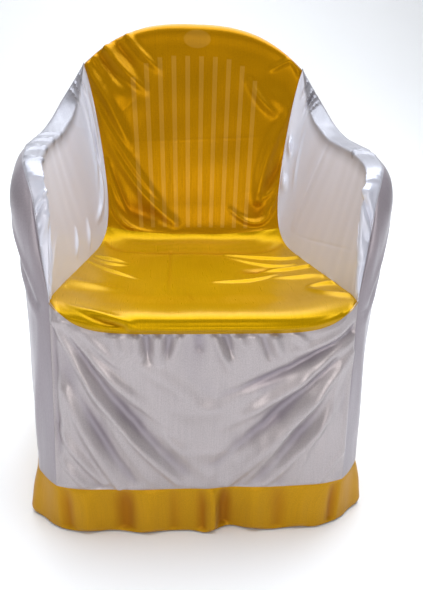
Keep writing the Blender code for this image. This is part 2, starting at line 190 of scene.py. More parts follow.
# Rough length and width of each panel, which set how many rows and columns its grid has.
GRID_SIZE = {
    "seat": (0.47, 0.48),
    "inner back": (0.45, 0.44),
    "arm": (0.62, 0.30),
    "skirt": (0.31, 0.50),
    "side": (0.54, 0.62),
    "front band": (0.09, 0.50),
    "side band": (0.09, 0.58),
    "back band": (0.09, 0.53),
}
FEWEST_ROWS = 8
# Rough lengths of the outer back's two sides, its arch and its drop.
OUTER_BACK_CLIMB = 0.13
OUTER_BACK_ARCH = 0.50
OUTER_BACK_DROP = 0.74
SHARP_ANGLE = math.radians(55)                  # an edge that turns more than this is shaded as sharp

X, Y, Z = 0, 1, 2

# ---------------------------------------------------------------- folds of the drape

# A fold starts at a root in its panel's own plane and runs on a heading: 0 is down the panel's second axis,
# 90 along its first axis, in degrees. bow: how far its middle swings aside. width: half width. height: how
# far it stands out of the chair, or is pressed in where it is negative. start and end: its strength at the
# two ends, as shares of the height. lean: from -1 to 1, which flank is the steep one.
Fold = namedtuple("Fold", "root heading length width height bow start end lean",
                  defaults=(0.0, 0.5, 0.2, 0.0))

# Inner back, in x and z: a fan at the top left corner, and long pulls and a pocket at both lower corners.
BACK_FOLDS = (
    Fold((-0.208, 0.765), 36, 0.05, 0.006, 0.0035, 0.0, 0.9, 0.1),
    Fold((-0.186, 0.785), 44, 0.12, 0.009, 0.0080, -0.004, 0.9, 0.2),
    Fold((-0.142, 0.808), 45, 0.10, 0.007, 0.0058, -0.004, 0.9, 0.1),
    Fold((-0.223, 0.745), 29, 0.19, 0.011, 0.0085, 0.004, 0.8, 0.1),
    Fold((-0.198, 0.775), 37, 0.09, 0.008, -0.0050, -0.003, 0.6, 0.1),
    Fold((-0.165, 0.795), 42, 0.08, 0.008, -0.0040, -0.003, 0.6, 0.1),
    Fold((-0.178, 0.712), 42, 0.06, 0.024, 0.0060),
    Fold((-0.208, 0.685), 34, 0.26, 0.007, 0.0050, -0.010, 0.3, 0.1),
    Fold((-0.200, 0.655), 36, 0.27, 0.010, 0.0080, -0.024, 0.4, 0.4),
    Fold((-0.192, 0.625), 33, 0.18, 0.009, -0.0042, -0.012, 0.3, 0.2),
    Fold((-0.183, 0.560), 23, 0.11, 0.004, 0.0030, -0.003, 0.5, 0.6),
    Fold((-0.172, 0.545), 21, 0.09, 0.006, -0.0035, 0.0, 0.3, 0.4),
    Fold((-0.148, 0.470), 66, 0.08, 0.020, -0.0060),
    Fold((-0.180, 0.505), 52, 0.15, 0.005, 0.0060, -0.034, 0.5, 0.3),
    Fold((0.202, 0.665), -20, 0.19, 0.012, 0.0095, -0.012, 0.4, 0.6),
    Fold((0.192, 0.575), -28, 0.09, 0.009, -0.0055, 0.0, 0.3, 0.3),
    Fold((0.182, 0.530), -38, 0.05, 0.004, 0.0032, 0.004, 0.6, 0.6),
    Fold((0.178, 0.500), -35, 0.05, 0.004, 0.0028, 0.006, 0.6, 0.4),
    Fold((0.174, 0.495), -72, 0.10, 0.006, 0.0055, 0.042, 0.5, 0.2),
    Fold((0.136, 0.500), 2, 0.06, 0.020, -0.0050, 0.0, 0.3, 0.4),
    Fold((0.205, 0.760), 24, 0.05, 0.005, 0.0035, 0.004, 0.9, 0.2),
    Fold((0.200, 0.765), -62, 0.05, 0.005, 0.0028, 0.0, 0.9, 0.1),
    Fold((0.115, 0.720), 42, 0.09, 0.008, 0.0050, -0.006),
    Fold((0.155, 0.700), 48, 0.06, 0.022, 0.0060),
    Fold((-0.060, 0.820), 1.5, 0.39, 0.0016, -0.0006, 0.0, 0.9, 0.6),
    Fold((-0.135, 0.597), 93, 0.32, 0.0015, 0.0002, 0.0, 0.6, 0.6),
)

# Seat, in x and the walk back from its front seam: the roll against the back, the front lip, the loops that
# the corners pull up, and marks of old folding.
SEAT_FOLDS = (
    Fold((-0.165, 0.410), 92, 0.34, 0.014, 0.0016, 0.006, 0.5, 0.5),
    Fold((-0.175, 0.375), 90, 0.36, 0.010, -0.0030, 0.006, 0.5, 0.5),
    Fold((-0.150, 0.012), 90, 0.36, 0.0035, 0.0022, 0.0, 0.6, 0.6),
    Fold((-0.200, 0.295), 98, 0.07, 0.005, 0.0055, 0.008, 0.4, 0.2),
    Fold((-0.200, 0.285), 96, 0.07, 0.004, 0.0045, -0.006, 0.4, 0.2),
    Fold((-0.212, 0.252), 76, 0.10, 0.004, 0.0048, 0.006, 0.6, 0.2, 0.4),
    Fold((-0.235, 0.105), 125, 0.11, 0.014, 0.0065, 0.012, 0.7, 0.2),
    Fold((0.060, 0.360), 62, 0.16, 0.005, 0.0060, 0.010, 0.5, 0.8, 0.2),
    Fold((0.062, 0.345), 57, 0.15, 0.004, 0.0048, -0.006, 0.5, 0.6),
    Fold((0.120, 0.262), 66, 0.10, 0.005, 0.0060, 0.010, 0.4, 0.9, 0.2),
    Fold((0.025, 0.215), 101, 0.12, 0.004, 0.0046, -0.006, 0.3, 0.6),
    Fold((0.090, 0.268), 96, 0.05, 0.010, -0.0050),
    Fold((0.140, 0.225), 50, 0.11, 0.005, 0.0052, 0.010, 0.4, 0.8, -0.3),
    Fold((0.190, 0.150), 32, 0.11, 0.005, 0.0060, 0.013, 0.4, 0.9, 0.2),
    Fold((0.188, 0.142), 28, 0.12, 0.005, 0.0052, -0.006, 0.4, 0.9, -0.2),
    Fold((-0.210, 0.030), 82, 0.09, 0.006, 0.0045, 0.006, 0.3, 0.7, 0.3),
    Fold((-0.186, 0.026), 78, 0.06, 0.006, -0.0050, 0.0, 0.3, 0.8),
    Fold((-0.050, 0.390), -2, 0.22, 0.0026, -0.0018, 0.0, 0.6, 0.3),
    Fold((-0.024, 0.170), 6, 0.07, 0.0025, -0.0016, 0.0, 0.3, 0.3),
    Fold((-0.072, 0.185), 20, 0.07, 0.0025, 0.0006, 0.0, 0.3, 0.3),
)

# Skirt, in x and z: rays from the two seat corners, with the valleys between them.
SKIRT_RAYS = (
    Fold((-0.234, 0.398), 33, 0.35, 0.009, 0.0088, -0.016, 0.9, 0.6, 0.3),
    Fold((-0.220, 0.392), 35, 0.33, 0.013, -0.0085, -0.012, 0.7, 0.4),
    Fold((-0.220, 0.398), 43, 0.27, 0.011, 0.0078, -0.010, 0.9, 0.1, 0.3),
    Fold((-0.195, 0.380), 44, 0.13, 0.010, -0.0045, -0.004),
    Fold((-0.192, 0.388), 47, 0.09, 0.009, 0.0055, -0.003, 0.6, 0.1, 0.2),
    Fold((-0.222, 0.315), 27, 0.23, 0.011, -0.0080, -0.008, 0.3, 0.7),
    Fold((-0.220, 0.280), 23, 0.20, 0.010, 0.0100, -0.006, 0.3, 0.9, 0.2),
    Fold((-0.234, 0.205), 34, 0.12, 0.008, 0.0080, -0.004, 0.4, 0.9, 0.2),
    Fold((-0.236, 0.150), 36, 0.06, 0.007, 0.0065, 0.0, 0.4, 0.9, 0.2),
    Fold((-0.198, 0.325), 27, 0.24, 0.008, 0.0045, -0.006, 0.2, 0.6, 0.2),
    Fold((-0.135, 0.368), 52, 0.19, 0.014, 0.0050, -0.010, 0.3, 0.1, 0.2),
    Fold((-0.092, 0.245), 38, 0.16, 0.010, 0.0045, -0.004, 0.1, 0.4),
    Fold((0.240, 0.384), -63, 0.24, 0.009, -0.0085, 0.006, 0.9, 0.1),
    Fold((0.236, 0.364), -54, 0.26, 0.011, 0.0088, 0.006, 0.8, 0.1, -0.2),
    Fold((0.240, 0.370), -44, 0.32, 0.012, -0.0090, 0.006, 0.7, 0.3),
    Fold((0.234, 0.342), -38, 0.31, 0.012, 0.0095, 0.006, 0.4, 0.7, -0.2),
    Fold((0.218, 0.280), -35, 0.21, 0.012, -0.0065, 0.004, 0.2, 0.6),
    Fold((0.214, 0.310), -34, 0.25, 0.006, 0.0040, 0.0, 0.2, 0.6),
    Fold((0.232, 0.272), -35, 0.22, 0.010, 0.0065, 0.006, 0.2, 0.7, -0.2),
    Fold((0.230, 0.320), -19, 0.24, 0.008, 0.0050, 0.0, 0.3, 0.6),
    Fold((0.238, 0.386), -72, 0.12, 0.009, 0.0050, 0.004, 0.6, 0.1, -0.2),
    Fold((0.246, 0.165), -32, 0.08, 0.006, 0.0045, 0.0, 0.4, 0.6, -0.2),
    Fold((0.246, 0.390), -1, 0.27, 0.005, 0.0035, 0.0, 0.5, 0.5),
    Fold((-0.241, 0.385), 0, 0.28, 0.008, -0.0060, 0.0, 0.6, 0.6),
    Fold((-0.090, 0.275), 84, 0.15, 0.018, 0.0060, -0.020, 0.1, 0.1),
    Fold((-0.065, 0.192), 84, 0.13, 0.018, 0.0060, -0.018, 0.1, 0.1),
    Fold((0.220, 0.345), -4, 0.23, 0.002, 0.0012, 0.0, 0.6, 0.6),
)

# Puckers where the skirt is gathered into the seat seam: place across, slant, length and height.
Pucker = namedtuple("Pucker", "x slant length height")
PUCKER_TOP = 0.387
PUCKER_WIDTH = 0.0075
PUCKER_STRENGTH = 1.25
PUCKERS = (
    Pucker(-0.145, 12, 0.042, 0.0040), Pucker(-0.112, 6, 0.045, 0.0052), Pucker(-0.094, 3, 0.052, -0.0050),
    Pucker(-0.077, 2, 0.058, 0.0055), Pucker(-0.058, -3, 0.046, -0.0044), Pucker(-0.040, -16, 0.052, 0.0050),
    Pucker(-0.014, 8, 0.034, -0.0030), Pucker(0.010, 22, 0.072, 0.0055), Pucker(0.028, 18, 0.046, -0.0050),
    Pucker(0.048, 24, 0.034, 0.0030), Pucker(0.086, 20, 0.052, -0.0050), Pucker(0.104, 18, 0.050, 0.0052),
    Pucker(0.140, 42, 0.030, 0.0034),
)
SKIRT_FOLDS = SKIRT_RAYS + tuple(
    Fold((pucker.x, PUCKER_TOP), pucker.slant, pucker.length, PUCKER_WIDTH,
         PUCKER_STRENGTH * pucker.height, 0.0, 0.9, 0.1)
    for pucker in PUCKERS)

# Arms. A fold runs between two places, each the number of a row of ARM_ROWS and the share across from the
# gold seam to the outer seam. Small loops hang over the top band, folds cross the front below the knuckle to
# meet the side's in a vee, rays rise from the seat's corner, and tucks gather the band up to the rim.
ArmFold = namedtuple("ArmFold", "begin finish width height start end", defaults=(0.5, 0.3))
# Shares across at which a fold on the top band begins and ends.
BAND_INNER = 0.79
BAND_OUTER = 0.97
LOOP_ROWS_LEFT = (3.9, 4.8, 5.8, 6.8)
LOOP_ROWS_RIGHT = (4.9,)
LOOP_SPREAD = 0.25


def across_band(row, end_row, width, height):
    """A fold across the arm's top band, from its inner to its outer edge."""
    return ArmFold((row, BAND_INNER), (end_row, BAND_OUTER), width, height, 0.7, 0.5)


def top_loops(rows):
    """Pairs of short ridges over the arm's top band that meet at its inner edge."""
    return tuple(across_band(row, row + spread, 0.005, 0.0042)
                 for row in rows for spread in (-LOOP_SPREAD, LOOP_SPREAD))


ARM_FOLDS_LEFT = top_loops(LOOP_ROWS_LEFT) + (
    across_band(3.0, 3.0, 0.004, 0.0035),
    across_band(2.8, 2.8, 0.004, 0.0035),
    across_band(2.2, 1.8, 0.005, 0.0055),
    across_band(2.1, 1.6, 0.005, -0.0050),
    across_band(2.0, 1.5, 0.005, 0.0055),
    across_band(1.7, 1.2, 0.005, 0.0050),
    ArmFold((0.5, 0.30), (3.5, 0.45), 0.007, 0.0048, 0.6, 0.1),
    ArmFold((0.6, 0.50), (2.2, 0.70), 0.006, 0.0042, 0.6, 0.1),
    ArmFold((0.8, 0.10), (4.2, 0.30), 0.007, 0.0040, 0.6, 0.1),
    ArmFold((0.4, 0.40), (1.6, 0.60), 0.005, -0.0030, 0.6, 0.1),
    ArmFold((12.2, 0.95), (11.6, 0.45), 0.005, 0.0050, 0.7, 0.3),
    ArmFold((11.4, 0.95), (11.0, 0.70), 0.005, 0.0042, 0.7, 0.3),
    ArmFold((10.8, 0.95), (10.4, 0.70), 0.005, 0.0042, 0.7, 0.3),
    ArmFold((11.8, 0.35), (10.0, 0.15), 0.006, 0.0040),
    ArmFold((11.0, 0.55), (8.8, 0.25), 0.008, 0.0042),
    ArmFold((10.2, 0.30), (9.6, 0.12), 0.010, -0.0055),
    ArmFold((9.3, 0.14), (7.4, 0.14), 0.007, 0.0045),
    ArmFold((5.6, 0.22), (5.2, 0.08), 0.005, 0.0050),
    ArmFold((6.6, 0.20), (6.2, 0.06), 0.006, 0.0050),
    ArmFold((8.0, 0.97), (10.4, 0.35), 0.0016, 0.0005, 0.5, 0.5),
)
ARM_FOLDS_RIGHT = top_loops(LOOP_ROWS_RIGHT) + (
    across_band(3.1, 3.1, 0.004, 0.0030),
    across_band(2.9, 2.9, 0.004, 0.0030),
    across_band(2.4, 1.7, 0.005, 0.0055),
    across_band(2.1, 1.5, 0.005, -0.0050),
    across_band(1.9, 1.3, 0.005, 0.0055),
    ArmFold((2.5, 0.84), (2.2, 0.84), 0.004, 0.0035, 0.4, 0.4),
    ArmFold((2.1, 0.72), (0.9, 0.80), 0.006, 0.0050, 0.4, 0.5),
    ArmFold((0.4, 0.45), (1.4, 0.70), 0.005, 0.0044, 0.6, 0.1),
    ArmFold((0.6, 0.25), (2.0, 0.60), 0.006, 0.0040, 0.6, 0.1),
    ArmFold((0.3, 0.70), (1.2, 0.90), 0.005, 0.0048, 0.6, 0.3),
    ArmFold((12.0, 0.95), (11.7, 0.60), 0.005, 0.0048, 0.7, 0.4),
    ArmFold((11.2, 0.95), (10.8, 0.66), 0.005, 0.0048, 0.7, 0.4),
    ArmFold((11.0, 0.95), (10.6, 0.70), 0.005, -0.0040, 0.7, 0.4),
    ArmFold((10.7, 0.93), (10.4, 0.72), 0.004, 0.0040, 0.6, 0.4),
    ArmFold((10.3, 0.93), (10.0, 0.75), 0.004, 0.0036, 0.6, 0.4),
    ArmFold((10.4, 0.12), (9.9, 0.25), 0.004, 0.0045, 0.4, 0.4),
    ArmFold((10.3, 0.18), (9.8, 0.28), 0.004, 0.0045, 0.4, 0.4),
    ArmFold((9.4, 0.06), (8.9, 0.20), 0.006, 0.0050, 0.6, 0.3),
    ArmFold((9.6, 0.60), (8.2, 0.30), 0.009, 0.0024, 0.3, 0.2),
    ArmFold((6.8, 0.75), (7.0, 0.15), 0.008, 0.0024, 0.2, 0.4),
    ArmFold((7.2, 0.10), (3.2, 0.28), 0.0016, -0.0006, 0.5, 0.5),
)

# Sides, in y and z: drapes that hang from under the arm, and pulls towards the seat's corner.
SIDE_DRAPES = (
    Fold((0.085, 0.560), 7, 0.42, 0.024, 0.0050, 0.0, 0.3, 0.8),
    Fold((0.190, 0.570), 4, 0.44, 0.026, -0.0055, 0.0, 0.3, 0.8),
    Fold((0.300, 0.580), 1, 0.46, 0.024, 0.0055, 0.0, 0.3, 0.8),
    Fold((0.385, 0.580), 3, 0.46, 0.020, -0.0045, 0.0, 0.3, 0.8),
    Fold((0.455, 0.560), 6, 0.43, 0.018, 0.0040, 0.0, 0.3, 0.8),
    Fold((0.240, 0.330), 2, 0.23, 0.012, 0.0030, 0.0, 0.1, 0.8),
    Fold((0.345, 0.300), -2, 0.20, 0.011, -0.0030, 0.0, 0.1, 0.8),
)
SIDE_FOLDS_LEFT = SIDE_DRAPES + (
    Fold((0.120, 0.565), -32, 0.16, 0.007, 0.0035, -0.006, 0.2, 0.5),
    Fold((0.140, 0.530), -42, 0.15, 0.007, -0.0035, -0.004, 0.2, 0.5),
    Fold((0.165, 0.520), -45, 0.17, 0.008, 0.0030, -0.004, 0.2, 0.4),
    Fold((0.036, 0.385), 6, 0.25, 0.011, 0.0030, 0.0, 0.3, 0.5),
)
SIDE_FOLDS_RIGHT = SIDE_DRAPES + (
    Fold((0.105, 0.570), -24, 0.17, 0.007, 0.0035, -0.006, 0.2, 0.5),
    Fold((0.125, 0.540), -34, 0.16, 0.007, -0.0035, -0.004, 0.2, 0.5),
    Fold((0.150, 0.530), -38, 0.18, 0.008, 0.0030, -0.004, 0.2, 0.4),
    Fold((0.034, 0.395), 4, 0.22, 0.011, 0.0030, 0.0, 0.3, 0.5),
)

# Outer back, in x and z: loose upright drapes.
OUTER_BACK_FOLDS = (
    Fold((-0.190, 0.600), 6, 0.48, 0.024, 0.0050, 0.0, 0.2, 0.9),
    Fold((-0.105, 0.660), 2, 0.54, 0.026, -0.0045, 0.0, 0.1, 0.9),
    Fold((-0.015, 0.620), -2, 0.50, 0.024, 0.0045, 0.0, 0.1, 0.9),
    Fold((0.075, 0.650), 3, 0.53, 0.026, -0.0050, 0.0, 0.1, 0.9),
    Fold((0.165, 0.610), -3, 0.49, 0.022, 0.0050, 0.0, 0.2, 0.9),
    Fold((0.050, 0.280), 0, 0.17, 0.012, 0.0025, 0.0, 0.1, 0.9),
)

# Folds down the front strip of the hem band: place across, half width and height.
HemFold = namedtuple("HemFold", "x width height")
HEM_FOLDS = (
    HemFold(-0.232, 0.010, -0.006), HemFold(-0.198, 0.014, 0.005), HemFold(-0.132, 0.016, -0.009),
    HemFold(-0.090, 0.016, 0.006), HemFold(-0.050, 0.010, -0.004), HemFold(0.000, 0.009, -0.007),
    HemFold(0.018, 0.007, 0.008), HemFold(0.040, 0.010, -0.009), HemFold(0.092, 0.014, 0.006),
    HemFold(0.135, 0.012, -0.004), HemFold(0.175, 0.012, 0.004), HemFold(0.234, 0.009, -0.007),
)
HEM_FOLD_TOP = BAND_SEAM_HEIGHT - 0.006
HEM_FOLD_LENGTH = 0.078
BAND_FOLDS = tuple(
    Fold((fold.x, HEM_FOLD_TOP), 1, HEM_FOLD_LENGTH, fold.width, fold.height, 0.0, 0.4, 0.9)
    for fold in HEM_FOLDS)

# The same down the side strips: place from front to back and height. They share one half width.
SIDE_HEM_WIDTH = 0.016
SIDE_HEM_FOLDS = ((0.060, 0.005), (0.130, -0.005), (0.215, 0.004), (0.300, -0.005), (0.390, 0.005),
                  (0.470, -0.004))
SIDE_BAND_FOLDS = tuple(
    Fold((y, HEM_FOLD_TOP), 0, HEM_FOLD_LENGTH, SIDE_HEM_WIDTH, height, 0.0, 0.3, 0.9)
    for y, height in SIDE_HEM_FOLDS)
BOWED_POINTS = 10                               # points along a bowed fold; a straight one has two
NOISE_WAVES = 9
NOISE_PITCH = (0.7, 1.6)                        # range of its waves' lengths, as shares of the wavelength

# ---------------------------------------------------------------- working out the shape


def spline(points, t):
    """Points at t on the smooth curve that passes through points at 0, 1, 2 and so on."""
    points = np.asarray(points, float)
    t = np.asarray(t, float)
    last = len(points) - 1
    padded = np.vstack([2 * points[0] - points[1], points, 2 * points[-1] - points[-2]])
    k = np.clip(np.floor(t).astype(int), 0, last - 1)
    f = (t - k)[..., None]
    p0, p1, p2, p3 = (padded[k + i] for i in range(4))
    return 0.5 * (2 * p1 + (p2 - p0) * f + (2 * p0 - 5 * p1 + 4 * p2 - p3) * f ** 2
                  + (3 * p1 - p0 - 3 * p2 + p3) * f ** 3)


def arm_line(name, t):
    """One named line of ARM_ROWS, down to its last filled row, at rows t."""
    return spline([getattr(row, name) for row in ARM_ROWS if getattr(row, name) is not None], t)


def mix(a, b, share):
    """Blend of two arrays of points, with one share for each point."""
    return a + (b - a) * np.asarray(share)[..., None]


def hump(share, reach):
    """Rises from 0 to 1 where share equals reach, and dies away past it."""
    return share / reach * np.exp(1 - share / reach)


def smooth_step(low, high, value):
    """0 below low, 1 above high and smooth between them."""
    f = np.clip((value - low) / (high - low), 0, 1)
    return f * f * (3 - 2 * f)


def even_rows(first, last, count, curve):
    """Row values between two rows whose points are evenly spaced along a curve."""
    fine = np.linspace(first, last, 600)
    length = walk(curve(fine), 0)
    return np.interp(np.linspace(0, length[-1], count), length, fine)


def gold_point(t, across):
    """Gold cloth at rows t, with across running from -1 at the left seam to 1 at the right seam."""
    t, across = np.broadcast_arrays(t, across)
    seam = arm_line("gold", t)
    middle = spline([(row.y, row.z) for row in GOLD_ROWS], t)
    shape = spline([(row.level, row.power) for row in GOLD_ROWS], t)
    level, power = shape[..., 0], shape[..., 1]
    turn = (np.maximum(np.abs(across) - level, 0.0) / (1 - level)) ** power
    return np.stack([across * seam[..., X],
                     middle[..., 0] + (seam[..., Y] - middle[..., 0]) * turn,
                     middle[..., 1] + (seam[..., Z] - middle[..., 1]) * turn], axis=-1)


def arm_point(t, across):
    """Right arm panel at rows t, with across from 0 at the gold seam to 1 at the outer seam."""
    t, across = np.broadcast_arrays(t, across)
    gold = arm_line("gold", t)
    ridge = arm_line("ridge", t)
    seam = arm_line("seam", t)
    inner = mix(gold, ridge, across / RIDGE_SHARE)
    share = (across - RIDGE_SHARE) / (1 - RIDGE_SHARE)
    top = mix(ridge, seam, share)
    top[..., Z] += ARM_CROWN * np.sin(np.pi * np.clip(share, 0, 1))
    return mix(inner, top, smooth_step(-RIDGE_ROUND, RIDGE_ROUND, across - RIDGE_SHARE))


def wave_push(x):
    """How far the front hem's edge is pushed out at x."""
    return sum(wave.push * np.exp(-((x - wave.x) / wave.width) ** 2) for wave in FRONT_WAVES)


def band_seam_front(across):
    """Seam of the skirt and the front band."""
    turn = np.abs(across) ** SKIRT_CORNER_POWER
    foot_x, foot_y = ARM_ROWS[0].foot
    x = across * foot_x
    y = SKIRT_FOOT_Y + (foot_y - SKIRT_FOOT_Y) * turn - wave_push(x) * SEAM_WAVE_SHARE * (1 - turn)
    return np.stack([x, y, BAND_SEAM_HEIGHT + CORNER_LIFT * across ** 4], axis=-1)


def hem_edge_front(across):
    """Lower edge of the front band."""
    turn = np.abs(across) ** SKIRT_CORNER_POWER
    seam = band_seam_front(across)
    flare_x, flare_y = ARM_ROWS[0].flare
    push = wave_push(seam[..., X]) * (1 - SEAM_WAVE_SHARE) * (1 - turn)
    return np.stack([seam[..., X] + across * flare_x,
                     seam[..., Y] + HEM_FRONT_FLARE + (flare_y - HEM_FRONT_FLARE) * turn - push,
                     np.full_like(across, HEM_EDGE_HEIGHT)], axis=-1)


def band_seam_side(t):
    """Seam of the right side panel and its band, at rows t."""
    foot = arm_line("foot", t)
    rise = CORNER_LIFT * np.maximum(0.0, 1 - t / SIDE_END) ** 4
    return np.stack([foot[..., 0], foot[..., 1], BAND_SEAM_HEIGHT + rise], axis=-1)


def hem_edge_side(t):
    """Lower edge of the right band, at rows t."""
    seam = band_seam_side(t)
    flare = arm_line("flare", t)
    share = t / SIDE_END
    wave = SIDE_WAVE * np.sin(2 * np.pi * SIDE_WAVE_COUNT * share) * np.sin(np.pi * share)
    return np.stack([seam[..., X] + flare[..., 0] + wave,
                     seam[..., Y] + flare[..., 1],
                     np.full_like(t, HEM_EDGE_HEIGHT)], axis=-1)


def band_seam_back(across):
    """Seam of the outer back and its band."""
    foot_x, foot_y = ARM_ROWS[SIDE_END].foot
    return np.stack([across * foot_x,
                     foot_y + BACK_FOOT_BOW * (1 - across ** 2),
                     np.full_like(across, BAND_SEAM_HEIGHT)], axis=-1)


def hem_edge_back(across):
    """Lower edge of the back band."""
    seam = band_seam_back(across)
    flare_x, flare_y = ARM_ROWS[SIDE_END].flare
    wave = BACK_WAVE * np.sin(np.pi * BACK_WAVE_COUNT * across) * (1 - across ** 2)
    return np.stack([seam[..., X] + across * flare_x,
                     seam[..., Y] + flare_y + wave,
                     np.full_like(across, HEM_EDGE_HEIGHT)], axis=-1)


def outer_back_top(climb_count, arch_count):
    """Upper edge of the outer back: up one side's seam, over the top rim and down the other side."""
    rows = even_rows(SIDE_END, RIM, climb_count, lambda t: arm_line("seam", t))
    climb = arm_line("seam", rows)
    arch = gold_point(float(RIM), np.linspace(1.0, -1.0, arch_count))
    fall = climb[::-1] * (-1, 1, 1)
    return np.vstack([climb[:-1], arch, fall[1:]])


def drop(tops, feet, shares):
    """Lines from each top point to the foot below it."""
    return tops[None] + (feet - tops)[None] * shares[:, None, None]


def normals_of(grid):
    """Unit normals of a grid of points."""
    normal = np.cross(np.gradient(grid, axis=0), np.gradient(grid, axis=1))
    return normal / np.maximum(np.linalg.norm(normal, axis=-1, keepdims=True), 1e-12)


def fold_route(fold):
    """Points along a fold, from its root to its end."""
    heading = math.radians(fold.heading)
    along = np.array([math.sin(heading), -math.cos(heading)])
    aside = np.array([math.cos(heading), math.sin(heading)])
    share = np.linspace(0, 1, BOWED_POINTS if fold.bow else 2)[:, None]
    return np.array(fold.root) + fold.length * share * along + fold.bow * 4 * share * (1 - share) * aside


def fold_height(fold, places):
    """Height that one fold adds at each place of a panel's plane."""
    route = fold_route(fold)
    count = len(route)
    best = np.full(places.shape[:-1], 1e9)
    side = np.zeros_like(best)
    along = np.zeros_like(best)
    for i in range(count - 1):
        start = route[i]
        run = route[i + 1] - start
        offset = places - start
        share = np.clip((offset @ run) / (run @ run), 0, 1)
        gap = offset - share[..., None] * run
        distance = np.hypot(gap[..., 0], gap[..., 1])
        turn = run[0] * gap[..., 1] - run[1] * gap[..., 0]
        near = distance < best
        best = np.where(near, distance, best)
        side = np.where(near, np.sign(turn), side)
        along = np.where(near, (i + share) / (count - 1), along)
    width = fold.width * (1 + fold.lean * side)
    end = np.where(along < 0.5, fold.start, fold.end)
    strength = end + (1 - end) * np.sin(np.pi * along)
    return fold.height * strength * np.exp(-(best / width) ** 2)


def soft_noise(places, wavelength, seed, stretch=(1.0, 1.0)):
    """Smooth unevenness between about -1 and 1, with bumps of roughly the given wavelength."""
    random = np.random.default_rng(seed)
    total = np.zeros(places.shape[:-1])
    for _ in range(NOISE_WAVES):
        angle = random.uniform(0, 2 * np.pi)
        pitch = wavelength * random.uniform(*NOISE_PITCH)
        phase = random.uniform(0, 2 * np.pi)
        heading = np.array([math.cos(angle) / stretch[0], math.sin(angle) / stretch[1]])
        total += np.sin(2 * np.pi * (places @ heading) / pitch + phase)
    return total / math.sqrt(NOISE_WAVES)


def walk(grid, axis):
    """Length walked along one axis of a grid, from its first row or column."""
    steps = np.linalg.norm(np.diff(grid, axis=axis), axis=-1)
    return np.insert(np.cumsum(steps, axis=axis), 0, 0.0, axis=axis)


def counts(panel, step):
    """Rows and columns of a panel's grid."""
    length, width = GRID_SIZE[panel]
    return max(int(length / step), FEWEST_ROWS), max(int(width / step), FEWEST_ROWS)


def seat_shape(step):
    """Seat, from its rolled front edge back. Places on it: x, and the walk back from the front seam."""
    rows, columns = counts("seat", step)
    t = even_rows(0, WAIST, rows, lambda r: gold_point(r, np.zeros_like(r)))
    grid = gold_point(t[:, None], np.linspace(-1, 1, columns)[None])
    return grid, np.stack([grid[..., X], walk(grid, 0)], axis=-1)


def back_shape(step):
    """Inner back, from the seat up. Places on it: x and z."""
    rows, columns = counts("inner back", step)
    t = even_rows(WAIST, RIM, rows, lambda r: gold_point(r, np.zeros_like(r)))
    grid = gold_point(t[:, None], np.linspace(-1, 1, columns)[None])
    return grid, grid[..., (X, Z)]


def arm_shape(step):
    """Right arm, from the seat's corner to the rim. Places on it: the walks along it and up from the seat."""
    rows, columns = counts("arm", step)
    t = even_rows(ARM_START, RIM - ARM_START, rows, lambda r: arm_line("ridge", r))
    grid = arm_point(t[:, None], np.linspace(0, 1, columns)[None])
    ridge = walk(grid, 0)[:, int(RIDGE_SHARE * columns)]
    return grid, np.stack([np.broadcast_to(ridge[:, None], grid.shape[:2]), walk(grid, 1)], axis=-1)


def curve_length(points):
    """Length of a line of points."""
    return float(np.linalg.norm(np.diff(points, axis=0), axis=1).sum())


def arm_place(spot):
    """Place on the arm panel, as arm_shape gives it, of a row number and a share across."""
    row, across = spot
    along = curve_length(arm_point(np.linspace(ARM_START, row, 80), RIDGE_SHARE))
    up = curve_length(arm_point(float(row), np.linspace(0, across, 40)))
    return np.array([along, up])


def lay_on_arm(fold):
    """The fold between two spots of the arm, as a straight fold in the panel's own plane."""
    root = arm_place(fold.begin)
    run = arm_place(fold.finish) - root
    heading = math.degrees(math.atan2(run[0], -run[1]))
    length = float(np.hypot(*run))
    return Fold(tuple(root), heading, length, fold.width, fold.height, 0.0, fold.start, fold.end)


def skirt_shape(step):
    """Skirt, from the seat's seam down. Places on it: x and z."""
    rows, columns = counts("skirt", step)
    across = np.linspace(-1, 1, columns)
    grid = drop(gold_point(0.0, across), band_seam_front(across), np.linspace(0, 1, rows))
    return grid, grid[..., (X, Z)]


def side_shape(step):
    """Right side, from the arm's outer seam down. Places on it: y and z."""
    rows, columns = counts("side", step)
    t = even_rows(0, SIDE_END, columns, lambda r: band_seam_side(r) + arm_line("seam", r))
    shares = np.linspace(0, 1, rows) ** CROWDING
    grid = drop(arm_line("seam", t), band_seam_side(t), shares)
    bulge = arm_line("bulge", t)
    grid[..., :2] += bulge[None] * hump(shares, BULGE_REACH)[:, None, None]
    return grid, grid[..., (Y, Z)]


def outer_back_shape(step):
    """Outer back, from its upper edge down. Places on it: x and z."""
    tops = outer_back_top(int(OUTER_BACK_CLIMB / step), int(OUTER_BACK_ARCH / step))
    across = tops[:, X] / tops[0, X]
    shares = np.linspace(0, 1, int(OUTER_BACK_DROP / step)) ** CROWDING
    grid = drop(tops, band_seam_back(across), shares)
    grid[..., Y] += BACK_BULGE * hump(shares, BACK_BULGE_REACH)[:, None] * (1 - across ** 2)[None]
    grid[..., Z] += RIM_PROUD * hump(walk(grid, 0), RIM_REACH)
    return grid, grid[..., (X, Z)]


def band_shape(step):
    """Front strip of the hem band. Places on it: x and z."""
    rows, columns = counts("front band", step)
    across = np.linspace(-1, 1, columns)
    grid = drop(band_seam_front(across), hem_edge_front(across), np.linspace(0, 1, rows))
    return grid, grid[..., (X, Z)]


def side_band_shape(step):
    """Right strip of the hem band. Places on it: y and z."""
    rows, columns = counts("side band", step)
    t = even_rows(0, SIDE_END, columns, band_seam_side)
    grid = drop(band_seam_side(t), hem_edge_side(t), np.linspace(0, 1, rows))
    return grid, grid[..., (Y, Z)]


